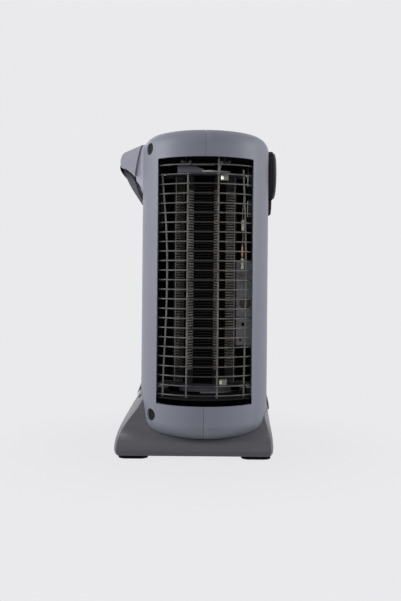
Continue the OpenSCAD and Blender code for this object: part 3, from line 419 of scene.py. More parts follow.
def two_faced(piece, inner):
    """Give the faces that look into the column a near-black colour, as painted shade."""
    piece.data.materials.append(inner)
    for face in piece.data.polygons:
        c, n = face.center, face.normal
        across = c.y - max(-flat_half, min(flat_half, c.y))
        r = sqrt((c.x - axis_x) ** 2 + across ** 2)
        over, under = c.z - (column_high - edge_r), column_low + edge_r - c.z
        beyond, past = r - (flank_r - edge_r), max(over, under)
        if beyond > 0 and past > 0:
            depth = edge_r - sqrt(beyond ** 2 + past ** 2)
        else:
            depth = min(flank_r - r, edge_r - past)
        if depth > wall * 0.6 and c.x > rear_x + wall * 0.6:
            face.material_index = 1


parting = at_handle((0, -11), (-3, -18), (-6, -30), (-9, -46), (-10, -54))
shoulder_low = at_handle((-8.5, -61), (-3.5, -68), (-0.6, -76), (4, -86))
groove = 0.0018
hole_spots = [(side * (flat_half + flank_r * share), z) for side in (-1, 1)
              for share, z in ((0.585, 0.054), (0.5, 0.411))]
hole_r, hole_in, hood_out, painted_light_inset = 0.008, 0.034, 0.02, 0.0002
power_low, power_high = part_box("power_button")
power_z, power_r = (power_low.z + power_high.z) / 2, 0.012
button_hole_r = power_r + 0.0004
mode_low, mode_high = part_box("mode_button")
dial_low, dial_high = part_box("thermostat_dial")
dial_z = (dial_low.z + dial_high.z) / 2

rear = new_piece("rear_shell_moulding", column_half("rear_shell_moulding", -1))
shoulder_back = curved(shifted(parting, groove / 2)) + curved(shoulder_low)
shoulder_half, shoulder_taper, handle_screw_y = 0.034, 12, 0.022
shoulder = slab_mesh("shoulder", [(rear_x + 0.0035, shoulder_back[0][1])] + shoulder_back, shoulder_half)
shoulder_piece = new_piece("shoulder", shoulder, None)
round_edges(shoulder_piece, 0.0022, 3, 50)
shoulder = shoulder_piece.data.copy()
for corner in shoulder.vertices:
    corner.co.y *= 1 - shoulder_taper * max(0.0, rear_x - corner.co.x)
bpy.data.objects.remove(shoulder_piece)
carve(rear, shoulder, "UNION")
for y, z in hole_spots:
    carve(rear, rod_mesh("hole", (rear_x - hood_out, y, z), (rear_x + hole_in, y, z), hole_r))
inlet_half, inlet_tall, inlet_pitch, inlet_first = 0.03, 0.005, 0.009, column_low + 0.020
for z in (inlet_first + inlet_pitch * k for k in range(3)):
    carve(rear, block_mesh("inlet", (rear_x - 0.002, -inlet_half, z),
                           (rear_x + wall + 0.002, inlet_half, z + inlet_tall)))
fine_edge = 0.0004
round_edges(rear, fine_edge, 2, 40)
rear.data.materials.append(shell_grey)
two_faced(rear, inside_painted_shade)
# The shoulder is part of the grey rear shell; its faces behind the rear face get the hood's pale grey as
# painted light. The hood's own pale tone is lifted by painted light too.
hood_pale_painted_light = moulded_plastic("hood_grey", plain(214, 214, 228))
rear.data.materials.append(hood_pale_painted_light)
for face in rear.data.polygons:
    if face.center.x < rear_x - painted_light_inset:
        face.material_index = 2
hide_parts("rear_shell")

front = new_piece("front_shell_moulding", column_half("front_shell_moulding", 1))
front_x = axis_x + flank_r
shaft_hole_r, through = 0.0036, 0.01
for z, r in ((dial_z, shaft_hole_r), (power_z, button_hole_r)):
    carve(front, rod_mesh("hole", (front_x - through, 0, z), (front_x + through, 0, z), r))
mode_z, mode_half, mode_tall, key_short = (mode_low.z + mode_high.z) / 2, 0.0104, 0.0114, 0.002
carve(front, block_mesh("hole", (front_x - through, -mode_half, mode_z - mode_tall + key_short),
                        (front_x + through, mode_half, mode_z + mode_tall)))
lip_half, lip_thick, lip_into, lip_off, lip_steps = 0.0025, 0.0013, 0.0002, 0.002, 8
for top in (True, False):
    arc, corner = [], edge_r - wall
    reach_y, start_z = flat_half + flank_r - wall, window_high + lip_off if top else window_low - lip_off
    for k in range(lip_steps + 1):
        t = pi / 2 * k / lip_steps
        rise = corner * (1 - sin(t))
        z = column_high - wall - rise if top else column_low + wall + rise
        arc.append((reach_y - corner * (1 - cos(t)), z))
    path = [(reach_y, start_z)] + arc + [(-y, z) for y, z in arc[::-1]] + [(-reach_y, start_z)]
    n, points = len(path), []
    for drop in (-lip_into, lip_thick):
        for y, z in path:
            pull = 1 - drop / reach_y
            points += [(axis_x + x, y * pull, z + (-drop if top else drop) * (0 if z == start_z else 1))
                       for x in (-lip_half, lip_half)]
    faces = []
    for i in range(n - 1):
        a, b = 2 * i, 2 * i + 2
        faces += [(a, b, b + 1, a + 1), (a + 2 * n, a + 1 + 2 * n, b + 1 + 2 * n, b + 2 * n),
                  (a, a + 2 * n, b + 2 * n, b), (a + 1, b + 1, b + 1 + 2 * n, a + 1 + 2 * n)]
    faces += [(0, 1, 1 + 2 * n, 2 * n), (2 * n - 2, 4 * n - 2, 4 * n - 1, 2 * n - 1)]
    carve(front, mesh_of("lip", points, faces), "UNION")
round_edges(front, fine_edge, 2, 40)
front.data.materials.append(shell_grey)
two_faced(front, inside_painted_shade)
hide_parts("front_shell")

# The carry handle's hood is a pale shell screwed to the column's back, its pale tone lifted further as
# painted light. It is open below, where the fingers go, and a dark groove parts it from the shoulder that is
# moulded on the rear shell.
hood_top = at_handle((-3.2, -12.2), (-22, -20.5), (-26.5, -23), (-29.3, -27), (-31, -34), (-30.3, -41.5))
hood_arch = at_handle((-28, -43), (-23, -45), (-17, -49.3))
hood_hollow = at_handle((-9.5, -19.5), (-20.5, -24.2), (-25.8, -28.4), (-27.6, -34), (-27.3, -55),
                        (-14.5, -65), (-14.2, -54), (-13, -46), (-9.9, -30))
hood_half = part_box("handle_hood")[1].y
hood_line = (curved(shifted(parting, -groove / 2)) + curved(hood_arch[::-1])
             + curved(hood_top[::-1])[:-1])
hood = new_piece("handle_hood_moulding", slab_mesh("handle_hood_moulding", hood_line, hood_half, 6))
round_edges(hood, 0.0026, 4, 50)
hood_wall = 0.003
carve(hood, slab_mesh("hollow", hood_hollow, hood_half - hood_wall))
slot_line = [(rear_x - 0.016, column_high - 0.062), (rear_x + 0.004, column_high - 0.062),
             (rear_x + 0.004, column_high - 0.0275), (rear_x - 0.016, column_high - 0.0275)]
carve(hood, slab_mesh("web_slot", slot_line, 0.0052))
handle_screw_z, boss_r = column_high - 0.033, 0.005
for y in (-handle_screw_y, handle_screw_y):
    carve(hood, rod_mesh("boss", (rear_x - 0.024, y, handle_screw_z),
                         (rear_x - 0.0092, y, handle_screw_z), boss_r), "UNION")
round_edges(hood, fine_edge, 2, 55)
hood.data.materials.append(hood_pale_painted_light)
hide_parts("handle_hood")

# The grip is one darker moulding: a curved strap that the palm bears on, a web up its middle and a
# flange that fills the groove. It is softer to the touch, with a coarser grain than the shell's.
strap_low = at_handle((-28.6, -45.0), (-26.8, -50.5), (-22.8, -58), (-17.6, -68), (-12, -77), (-3, -90.5),
                      (-0.3, -95))
strap_high = at_handle((-26, -44.6), (-21.5, -47.3), (-16.2, -52.5), (-12.2, -60.2), (-9.6, -68.8),
                       (-6.5, -77.5), (-0.3, -88))
web_top = at_handle((-26.2, -36), (-14, -28))
strap_half, web_half = 0.014, 0.005
grip = new_piece("handle_grip_moulding", slab_mesh(
    "handle_grip_moulding", curved(strap_low, 6) + curved(strap_high, 6)[::-1], strap_half, 4))
round_edges(grip, 0.0018, 4, 50)
web = ([strap_high[0]] + strap_low[2:] + [(rear_x - 0.0003, shoulder_low[2][1] - 0.002)]
       + [(x + 0.0005, z + 0.0005) for x, z in (shoulder_low[1], shoulder_low[0])]
       + [parting[4], parting[3], parting[2]] + web_top[::-1])
carve(grip, slab_mesh("web", web, web_half), "UNION")
flange_half = groove / 2 - 0.0002
flange = shifted(parting, flange_half) + shifted(parting, -flange_half)[::-1]
carve(grip, slab_mesh("flange", flange, hood_half - 0.001), "UNION")
round_edges(grip, 0.0005, 2, 55)
grip_grey = moulded_plastic("grip_grey", plain(124, 124, 128), grain=0.0004, rough=0.6, relief=0.00005)
grip.data.materials.append(grip_grey)
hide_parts("handle_grip")

# A black rubber bumper wraps the hood's tip, so that the handle can lean on a wall unmarked. Its ends
# taper off and its face is crowned.
bumper_line = curved(at_handle((-30.8, -34.2), (-31.7, -38), (-31.5, -42.5), (-29.5, -47.0),
                               (-26.4, -51.8)), 6)
bumper_core = Vector((rear_x - 0.012, column_high - 0.036))
bumper_thick, bumper_half, columns = 0.0017, hood_half - 0.012, 17
points, faces, rows = [], [], len(bumper_line)
for layer in (0, 1):
    for i, (x, z) in enumerate(bumper_line):
        out = (Vector((x, z)) - bumper_core).normalized()
        along = sin(pi * min(max(i / (rows - 1), 0.03), 0.97)) ** 0.35
        for j in range(columns):
            y = bumper_half * (2 * j / (columns - 1) - 1)
            crown = (1 - abs(y / bumper_half) ** 6 * 0.75) * along
            rise = bumper_thick * crown * layer
            points.append((x + out.x * rise, y, z + out.y * rise))
shift = rows * columns
for i in range(rows - 1):
    for j in range(columns - 1):
        a, b = i * columns + j, (i + 1) * columns + j
        faces.append((a, a + 1, b + 1, b))
        faces.append((a + shift, b + shift, b + 1 + shift, a + 1 + shift))
for i in range(rows - 1):
    for a, b in ((i * columns, (i + 1) * columns), ((i + 2) * columns - 1, (i + 1) * columns - 1)):
        faces.append((a, b, b + shift, a + shift))
for j in range(columns - 1):
    for a, b in ((j + 1, j), (shift - columns + j, shift - columns + j + 1)):
        faces.append((a, b, b + shift, a + shift))
bumper = new_piece("handle_bumper_pad", mesh_of("handle_bumper_pad", points, faces))
round_edges(bumper, 0.0003, 2, 50)


def rubber(name, colour, grain=0.0005, relief=0.00004):
    """Moulded rubber: matt, slightly dusty, with a soft open grain."""
    made, m = new_material(name)
    place = m.node("ShaderNodeTexCoord", out=3)
    dust = m.noise(place, 90.0, 4.0, 0.6)
    fine = m.noise(place, 1 / grain, 3.0)
    body = dust.ramp(0.45, 0.8, 0.0, 0.55).blend(toned(colour, 0.85), toned(colour, 1.7, 0.006))
    return surfaced(made, m, body, dust * 0.2 + 0.7, fine, 0.6, relief, **{"Specular IOR Level": 0.12})


pad_rubber = rubber("pad_rubber", plain(24, 24, 27))
bumper.data.materials.append(pad_rubber)
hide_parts("handle_bumper")


# Four dark plugs close the screw holes at the column's corners. They sit a little below the surface,
# each with a small dished face that follows the flank's curve.
def ring_faces(start, rings, around):
    """The faces between closed rings of points that follow one another."""
    return [(a + k, a + (k + 1) % around, a + around + (k + 1) % around, a + around + k)
            for a in range(start, start + (rings - 1) * around, around) for k in range(around)]


plug_line = [(0.0, -0.0009), (0.55, -0.0008), (0.8, -0.0003), (0.93, -0.0001), (1.0, -0.0005), (1.0, -0.006)]
plug_r, plug_sunk, around = hole_r - 0.0002, 0.0012, 40
points, faces = [], []
for y, z in hole_spots:
    start = len(points)
    for share, drop in plug_line:
        for k in range(around):
            a = 2 * pi * k / around
            py, pz = y + plug_r * share * cos(a), z + plug_r * share * sin(a)
            flank = flank_r - max(0.0, edge_r - (pz - column_low), edge_r - (column_high - pz)) ** 2 / 0.04
            px = axis_x - sqrt(max(flank ** 2 - (abs(py) - flat_half) ** 2, 1e-6))
            points.append((px + plug_sunk - drop, py, pz))
    faces += ring_faces(start, len(plug_line), around)
    faces.append(tuple(start + (len(plug_line) - 1) * around + k for k in range(around)))
plugs = new_piece("screw_plugs_moulded", mesh_of("screw_plugs_moulded", points, faces))
shade(plugs, 60)
plug_grey = moulded_plastic("plug_grey", plain(22, 22, 26), rough=0.75, worn=0.05, gloss=0.2)
plugs.data.materials.append(plug_grey)
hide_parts("screw_plugs")

# The flared base is a hollow moulding in darker grey plastic. The column stands down in it between a
# ramp behind, with two rows of louvres and the cord's hole, and a low apron in front that ends half way
# up the power button. Its flanks flare out to the footprint. Each line below is (height, way in).
base_low, base_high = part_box("base_shell")
base_z, flank_y = base_low.z, base_high.y
rear_edge, front_edge = base_low.x, base_high.x
ramp = [(0, 0.0024), (0.003, 0.0006), (0.008, 0), (0.0135, 0.0004), (0.019, 0.0011), (0.0256, 0.0024),
        (0.030, 0.0042), (0.0346, 0.0065), (0.0395, 0.0091), (0.0445, 0.012), (0.0495, 0.0153),
        (0.0545, 0.0185), (0.059, 0.0207), (0.064, 0.0225), (0.0695, 0.0245), (0.075, 0.0259),
        (0.0835, 0.0291)]
apron = [(0, 0.0024), (0.003, 0.0006), (0.008, 0), (0.024, 0.0001), (0.030, 0.0004), (0.035, 0.001),
         (0.040, 0.0016), (0.045, 0.002), (0.051, 0.0023), (0.059, 0.0025), (0.067, 0.0027),
         (0.074, 0.0029), (0.0835, 0.003)]
flare = [(0, 0.0024), (0.003, 0.0006), (0.007, 0), (0.013, 0.0015), (0.017, 0.004), (0.020, 0.008),
         (0.023, 0.016)]
rear_flare = flare + [(0.025, 0.024), (0.0275, 0.030), (0.0305, 0.0345), (0.035, 0.038), (0.039, 0.0405),
                      (0.047, 0.0435), (0.053, 0.046), (0.060, 0.050), (0.065, 0.054), (0.071, 0.056),
                      (0.0835, 0.058)]
front_flare = flare + [(0.025, 0.024), (0.0273, 0.031), (0.0297, 0.038), (0.034, 0.043), (0.039, 0.047),
                       (0.045, 0.051), (0.049, 0.054), (0.052, 0.060), (0.0545, 0.070), (0.058, 0.078),
                       (0.063, 0.082), (0.0835, 0.083)]


def solid_column(grow):
    """The whole column grown outwards, for cutting the base's pocket."""
    both = []
    for side in (-1, 1):
        rows = column_points(side, -grow, window_low, window_high, 0.0)
        across = len(rows[0])
        points = [p for row in rows for p in row]
        faces = [(i * across + j, i * across + j + 1, (i + 1) * across + j + 1, (i + 1) * across + j)
                 for i in range(len(rows) - 1) for j in range(across - 1)]
        both.append((points, faces))
    shift = len(both[0][0])
    faces = both[0][1] + [tuple(k + shift for k in face) for face in both[1][1]]
    return mesh_of("column_tool", both[0][0] + both[1][0], faces, 1e-5)


def level(line, height):
    """The value of a (height, value) line at a height."""
    for (h0, v0), (h1, v1) in zip(line, line[1:]):
        if height <= h1:
            return v0 + (v1 - v0) * max(0.0, (height - h0) / (h1 - h0))
    return line[-1][1]


def base_mesh(name, inset, drop):
    """The base's outer form in level sections, drawn in and lowered for the hollow inside."""
    heights = sorted({h for h, _ in ramp + apron + rear_flare + front_flare}
                     | {0.0045, 0.0105, 0.0222, 0.0765, 0.079})
    corner_steps, side_steps, points = 8, 12, []
    for h in heights:
        left = rear_edge + level(ramp, h) + inset
        right = front_edge - level(apron, h) - inset
        ring = []
        for side, line, edge in ((1, front_flare, right), (-1, rear_flare, left)):
            half = flank_y - level(line, h) - inset
            round_y = min(0.012 + (0.014 if side > 0 else 0.006) * min(1, h / 0.05), half * 0.75) - inset
            least, growth = (0.0042, 0.13) if side > 0 else (0.004, 0.16)
            round_x = least + growth * max(0, h - 0.02) - inset * 0.6
            for end in (1, -1) if side < 0 else (-1, 1):
                for k in range(corner_steps + 1):
                    t = pi / 2 * k / corner_steps
                    if side > 0:
                        a = -pi / 2 + t if end < 0 else t
                    else:
                        a = pi / 2 + t if end > 0 else pi + t
                    ring.append((edge - side * round_x * (1 - abs(cos(a)) ** 1.5),
                                 end * (half - round_y * (1 - abs(sin(a)) ** 1.5))))
        split, full = corner_steps + 1, []
        for i, (x, y) in enumerate(ring):
            full.append((x, y))
            if (i + 1) % split == 0:
                nx, ny = ring[(i + 1) % len(ring)]
                for f in (s / side_steps for s in range(1, side_steps)):
                    eased = f * f * (3 - 2 * f) if (i + 1) // split in (2, 4) and abs(ny - y) > 1e-6 else f
                    full.append((x + (nx - x) * f, y + (ny - y) * eased))
        points.append([(x, y, base_z + h - drop) for x, y in full])
    count = len(points[0])
    flat = [p for ring in points for p in ring]
    ends = [tuple(reversed(range(count))), tuple((len(points) - 1) * count + k for k in range(count))]
    return mesh_of(name, flat, ends + ring_faces(0, len(points), count))


base_wall, pocket = 0.0025, 0.0003
base = new_piece("base_moulding", base_mesh("base_moulding", 0, 0))
cavity = new_piece("cavity", base_mesh("cavity", base_wall, base_wall), None)
carve(cavity, solid_column(pocket + base_wall))
cavity_mesh = cavity.data.copy()
bpy.data.objects.remove(cavity)
carve(base, cavity_mesh)
carve(base, solid_column(pocket))
carve(base, block_mesh("under", (-0.2, -0.2, -0.05), (0.2, 0.2, base_z)))
apron_top, apron_half = power_z + 0.002, 0.05
carve(base, block_mesh("front_top", (front_x, -apron_half, apron_top), (front_x + 0.03, apron_half, 0.1)))
carve(base, rod_mesh("hole", (front_x - 0.001, 0, power_z), (front_x + 0.03, 0, power_z), button_hole_r))
gland_low, gland_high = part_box("cord_gland")
gland = (gland_low + gland_high) / 2
gland_hole_r = 0.00605
carve(base, rod_mesh("hole", (rear_edge - 0.02, gland.y, gland.z), (rear_edge + 0.02, gland.y, gland.z),
                     gland_hole_r))
louvre_half, louvre_gap, slit_in, slit_half = 0.050, 0.012, -0.012, 0.0008
for x, z, tip, turn in ((-0.0808, 0.0752, 0.0135, -66), (-0.0858, 0.0652, 0.0150, -45)):
    for y0, y1, out in ((-louvre_half, louvre_half, 0.002), (-louvre_half, -louvre_gap, tip),
                        (louvre_gap, louvre_half, tip)):
        slit = block_mesh("louvre", (slit_in, y0, -slit_half), (out, y1, slit_half))
        slit.transform(Matrix.Translation((x, 0, z)) @ Matrix.Rotation(radians(turn), 4, "Y"))
        carve(base, slit)
round_edges(base, 0.0005, 2, 48)
# The base's ramp and apron, which face the ends, are painted paler higher up: a painted sheen for the light
# from the sides.
base_grey = moulded_plastic("base_grey", plain(96, 96, 100), grain=0.0003, rough=0.5, relief=0.00003,
                            painted_sheen=0.9)
base.data.materials.append(base_grey)
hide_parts("base_shell")

# The heater stands on four black rubber pads with rounded ends, pressed on the bottom plate. Each has a
# softly rounded tread edge and a shallow groove round its side.
feet_low, feet_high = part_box("rubber_feet")
pad_long, pad_wide, pad_tall = 0.039, 0.020, feet_high.z
pad_line = [(0.0, 0.0), (-0.004, 0.0), (-0.0006, 0.0), (-0.0002, 0.0001), (0, 0.0005),
            (0, 0.0032), (-0.0004, 0.0035), (-0.0004, 0.0041), (0, 0.0044), (0, pad_tall)]
points, faces = [], []
half_turn = 14
for x in (feet_low.x + pad_long / 2, feet_high.x - pad_long / 2):
    for y in (feet_low.y + pad_wide / 2, feet_high.y - pad_wide / 2):
        start, ring = len(points), 2 * (half_turn + 1)
        for i, (inset, z) in enumerate(pad_line):
            r = 0.0004 if i == 0 else pad_wide / 2 + inset
            for end in (1, -1):
                for k in range(half_turn + 1):
                    a = (-pi / 2 if end > 0 else pi / 2) + pi * k / half_turn
                    points.append((x + end * (pad_long - pad_wide) / 2 + r * cos(a), y + r * sin(a), z))
        faces.append(tuple(start + k for k in reversed(range(ring))))
        faces.append(tuple(start + (len(pad_line) - 1) * ring + k for k in range(ring)))
        faces += ring_faces(start, len(pad_line), ring)
feet = new_piece("rubber_feet_moulded", mesh_of("rubber_feet_moulded", points, faces))
shade(feet, 50)
feet.data.materials.append(pad_rubber)
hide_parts("rubber_feet")


# The cord's bush is a ribbed rubber sleeve with a rounded mouth, pushed into a hole in the base's rear
# slope. It keeps a cord from chafing there.
def turned(name, line, start, aim=(0, 0, 1), around=32, closed=False):
    """A turned mesh from (radius, height) pairs about an axis; a closed line is a tube's section."""
    turn = Vector(aim).to_track_quat("Z", "Y").to_matrix()
    points, last = [], (len(line) - 1) * around
    for r, h in line:
        for k in range(around):
            a = 2 * pi * k / around
            points.append(tuple(turn @ Vector((r * cos(a), r * sin(a), h)) + Vector(start)))
    faces = ring_faces(0, len(line), around)
    if closed:
        faces += [(last + k, last + (k + 1) % around, (k + 1) % around, k) for k in range(around)]
    else:
        faces += [tuple(reversed(range(around))), tuple(last + k for k in range(around))]
    return mesh_of(name, points, faces)


def joined(name, *meshes):
    """Several meshes as one, each kept closed."""
    shape = bmesh.new()
    for mesh in meshes:
        shape.from_mesh(mesh)
        bpy.data.meshes.remove(mesh)
    made = bpy.data.meshes.new(name)
    shape.to_mesh(made)
    shape.free()
    return made


bush_long, bush_r, neck_r, bush_bore, rib_pitch = gland_high.x - gland_low.x, 0.006, 0.0054, 0.0032, 0.0022
bush_line = [(bush_bore, 0.0006), (0.0038, 0.0), (0.0056, 0.0), (bush_r, 0.0004)]
for h in (0.0016 + rib_pitch * k for k in range(4)):
    bush_line += [(bush_r, h), (neck_r, h + 0.0003), (neck_r, h + 0.0009), (bush_r, h + 0.0012)]
bush_line += [(bush_r, bush_long - 0.0005), (0.0056, bush_long), (0.0036, bush_long),
              (bush_bore, bush_long - 0.0006)]
bush = new_piece("cord_bush", turned("cord_bush", bush_line, (gland_low.x, gland.y, gland.z), (1, 0, 0),
                                     closed=True))
shade(bush, 50)
bush.data.materials.append(pad_rubber)
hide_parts("cord_gland")


# Two bowed grilles guard the windows. Each has level wires welded across six upright rods, two of them
# a little bent, and a short rod hooked over the fourth; the satin grey coat is darkened over the element's
# middle as painted shade.
def shape_tree(name, sizes):
    """A Geometry Nodes tree that takes a mesh and named sizes."""
    tree = bpy.data.node_groups.new(name, "GeometryNodeTree")
    tree.interface.new_socket("Geometry", in_out="OUTPUT", socket_type="NodeSocketGeometry")
    tree.interface.new_socket("Geometry", in_out="INPUT", socket_type="NodeSocketGeometry")
    for label, kind in sizes.items():
        tree.interface.new_socket(label, in_out="INPUT", socket_type="NodeSocket" + kind)
    flow = Flow(tree)
    source = flow.node("NodeGroupInput").socket.node
    return flow, {socket.name: Flow(tree, socket) for socket in source.outputs if socket.name}


def end_tree(flow, material, *shapes):
    whole = flow.node("GeometryNodeJoinGeometry").socket.node
    for shape in shapes[::-1]:
        flow.tree.links.new(shape.socket, whole.inputs[0])
    real = flow.node("GeometryNodeRealizeInstances", None, {0: Flow(flow.tree, whole.outputs[0])})
    flow.node("NodeGroupOutput", None, {
        0: flow.node("GeometryNodeSetMaterial", None, {"Geometry": real, "Material": material})})


def grown(name, mesh, flow, sizes, body="heater"):
    """A piece that a tree grows from a mesh, as a plain mesh that rides on a body."""
    made = new_piece(name, mesh, None)
    tree = made.modifiers.new("grown", "NODES")
    tree.node_group = flow.tree
    for item in flow.tree.interface.items_tree:
        if item.in_out == "INPUT" and item.name in sizes:
            tree[item.identifier] = sizes[item.name]
    settle(made)
    shape = bmesh.new()
    shape.from_mesh(made.data)
    bmesh.ops.recalc_face_normals(shape, faces=shape.faces)
    shape.to_mesh(made.data)
    shape.free()
    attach(made, body)
    return made


def path_mesh(name, *paths):
    """Open paths as a mesh of edges."""
    points, edges = [], []
    for path in paths:
        edges += [(len(points) + i, len(points) + i + 1) for i in range(len(path) - 1)]
        points += [tuple(p) for p in path]
    made = bpy.data.meshes.new(name)
    made.from_pydata(points, edges, [])
    return made


def coated_wire(name, colour, metallic=0.35, rough=0.42, worn=0.5, painted_middle_shade=0.0):
    """Round wire under a thin satin coat, with duller and brighter stretches, and painted shade over the
    middle.
    """
    made, m = new_material(name)
    place = m.node("ShaderNodeTexCoord", out=3)
    along = m.noise(place, 60.0, 3.0)
    fine = m.noise(place, 900.0, 3.0)
    tone = along * 0.7 + fine * 0.3
    body = tone.ramp(0.3, 0.72).blend(toned(colour, 0.62), toned(colour, 1.35))
    bare = (along.ramp(0.56, 0.7) * worn).blend(body, plain(120, 116, 110))
    x = m.part(place)[0] - (axis_x - 0.003)
    # Painted shade: the wire is darkened over the middle of the element.
    bare = ((1 - m.maths("ABSOLUTE", x).ramp(0.0155, 0.0195)) * painted_middle_shade).blend(bare, plain(22, 20, 19))
    return surfaced(made, m, bare, fine * 0.2 + rough, fine, 0.4, 0.00003,
                    Metallic=along.ramp(0.3, 0.7, metallic * 0.7, metallic))


guard_grey = coated_wire("guard_grey", plain(112, 110, 108), worn=0.25, painted_middle_shade=0.8)
g, size = shape_tree("bowed_grille", {
    "Wires": "Int", "Lowest": "Vector", "Pitch": "Vector", "Bow": "Float", "From": "Float", "Sweep": "Float",
    "Wire radius": "Float", "Rod radius": "Float", "Sides": "Int"})
bow = g.node("GeometryNodeCurveArc", None, {"Resolution": 48, "Radius": size["Bow"],
                                            "Start Angle": size["From"], "Sweep Angle": size["Sweep"]})
sections = [g.node("GeometryNodeCurvePrimitiveCircle", None, {"Resolution": size["Sides"], "Radius": size[r]})
            for r in ("Wire radius", "Rod radius")]
level_wire = g.node("GeometryNodeCurveToMesh", None, {"Curve": bow, "Profile Curve": sections[0],
                                                      "Fill Caps": True})
heights = g.node("GeometryNodeMeshLine", None, {"Count": size["Wires"], "Start Location": size["Lowest"],
                                                "Offset": size["Pitch"]})
wires = g.node("GeometryNodeInstanceOnPoints", None, {"Points": heights, "Instance": level_wire})
rods = g.node("GeometryNodeCurveToMesh", None, {
    "Curve": g.node("GeometryNodeMeshToCurve", None, {0: size["Geometry"]}), "Profile Curve": sections[1],
    "Fill Caps": True})
end_tree(g, guard_grey, wires, rods)

guard_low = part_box("guard_near")[0]
wire_r, rod_r, bow_r, bow_half, weld = 0.0009, 0.0012, 0.100, 0.0655, 0.0003
wire_count, lowest, highest = 25, 0.083, 0.3869
wire_step = (highest - lowest) / (wire_count - 1)
bow_y, span = guard_low.y + bow_r + wire_r, asin(bow_half / bow_r)
rod_reach, rod_foot, hook_back = bow_r - wire_r - rod_r + weld, guard_low.z, 0.002
rod_lines = [[(-0.064, rod_foot), (-0.064, 0.3895)],
             [(-0.055, rod_foot), (-0.0538, 0.12), (-0.051, 0.185), (-0.050, 0.245), (-0.0515, 0.30),
              (-0.0555, 0.35), (-0.058, 0.3765)],
             [(-0.0235, rod_foot), (-0.023, 0.2), (-0.0232, 0.3762)],
             [(0.017, rod_foot), (0.0173, 0.2), (0.017, 0.3795), (0.0172, 0.3885)],
             [(0.0525, rod_foot), (0.0535, 0.14), (0.0545, 0.22), (0.0535, 0.30), (0.050, 0.3815)],
             [(0.064, rod_foot), (0.064, 0.3895)]]
hook = [(0.0172, 0.3765), (0.0195, 0.386), (0.0212, 0.391)]
for side, node in ((-1, "guard_near"), (1, "guard_far")):
    rods = [[(axis_x + x, side * (sqrt(rod_reach ** 2 - x ** 2) - bow_y - back), z) for x, z in line]
            for line, back in [(curved(line, 8), 0) for line in rod_lines] + [(hook, hook_back)]]
    piece = grown(node + "_grille", path_mesh("rods", *rods), g, {
        "Wires": wire_count, "Lowest": (axis_x, -side * bow_y, lowest), "Pitch": (0, 0, wire_step),
        "Bow": bow_r, "From": side * pi / 2 - span, "Sweep": 2 * span, "Wire radius": wire_r,
        "Rod radius": rod_r, "Sides": 12})
    shade(piece, 60)
    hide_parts(node)


# The element hangs between two round end plates of plain steel. Bright strips stand on their rims for
# stiffness, and the upper one has two tabs bent up that steer the air; heat has left faint stains.
def sheet_metal(name, colour, rough=0.4, metallic=0.8, grain=(1, 1, 1), stain=0.35, heat=0.0, gloss=0.5):
    """Rolled or plated steel sheet: fine directional scratches, cloudy dulling and heat tints."""
    made, m = new_material(name)
    place = m.node("ShaderNodeTexCoord", out=3)
    cloud = m.noise(place, 34.0, 4.0, 0.6)
    scratch = m.noise(m.stretched(place, tuple(900 * g for g in grain)), 1.0, 2.0)
    dulled = (cloud * stain + scratch * (1 - stain)).ramp(0.3, 0.7)
    body = dulled.blend(toned(colour, 0.68), toned(colour, 1.25))
    tint = (m.noise(place, 12.0, 2.0).ramp(0.45, 0.65) * heat).blend(body, plain(78, 66, 74))
    return surfaced(made, m, tint, cloud * 0.25 + scratch * 0.1 + (rough - 0.15), scratch, 0.3, 0.00002,
                    Metallic=metallic, **{"Specular IOR Level": gloss})


dull_steel = sheet_metal("end_plate_steel", plain(104, 105, 116), rough=0.55, metallic=0.4, heat=0.3)
lip_steel = sheet_metal("lip_steel", plain(160, 156, 150), rough=0.45, metallic=0.4)
bore_r, rim_in, rim_step, tab_sunk, near = 0.0027, 0.0006, 0.0004, 0.0002, 0.0001
tab_line = [(-0.039, 0), (-0.003, 0), (-0.003, 0.0058), (-0.016, 0.0102), (-0.039, 0.0112)]
tab_near, tab_far = -0.0445, -0.0435
rim_r, rim_thick, rim_cuts = 0.0572, 0.0012, 16


def rim_strip(radius, z0, z1, start, stop):
    """A strip of sheet on edge round the element's axis, between two heights and two angles in degrees."""
    turns = [radians(start + (stop - start) * k / rim_cuts) for k in range(rim_cuts + 1)]
    n, section = len(turns), ((0, z0), (rim_thick, z0), (rim_thick, z1), (0, z1))
    points = [((radius + out) * cos(t), (radius + out) * sin(t), z) for out, z in section for t in turns]
    faces = [(j * n + k, (j + 1) % 4 * n + k, (j + 1) % 4 * n + k + 1, j * n + k + 1)
             for j in range(4) for k in range(rim_cuts)]
    return mesh_of("lip", points, faces + [(0, n, 2 * n, 3 * n), (4 * n - 1, 3 * n - 1, 2 * n - 1, n - 1)])


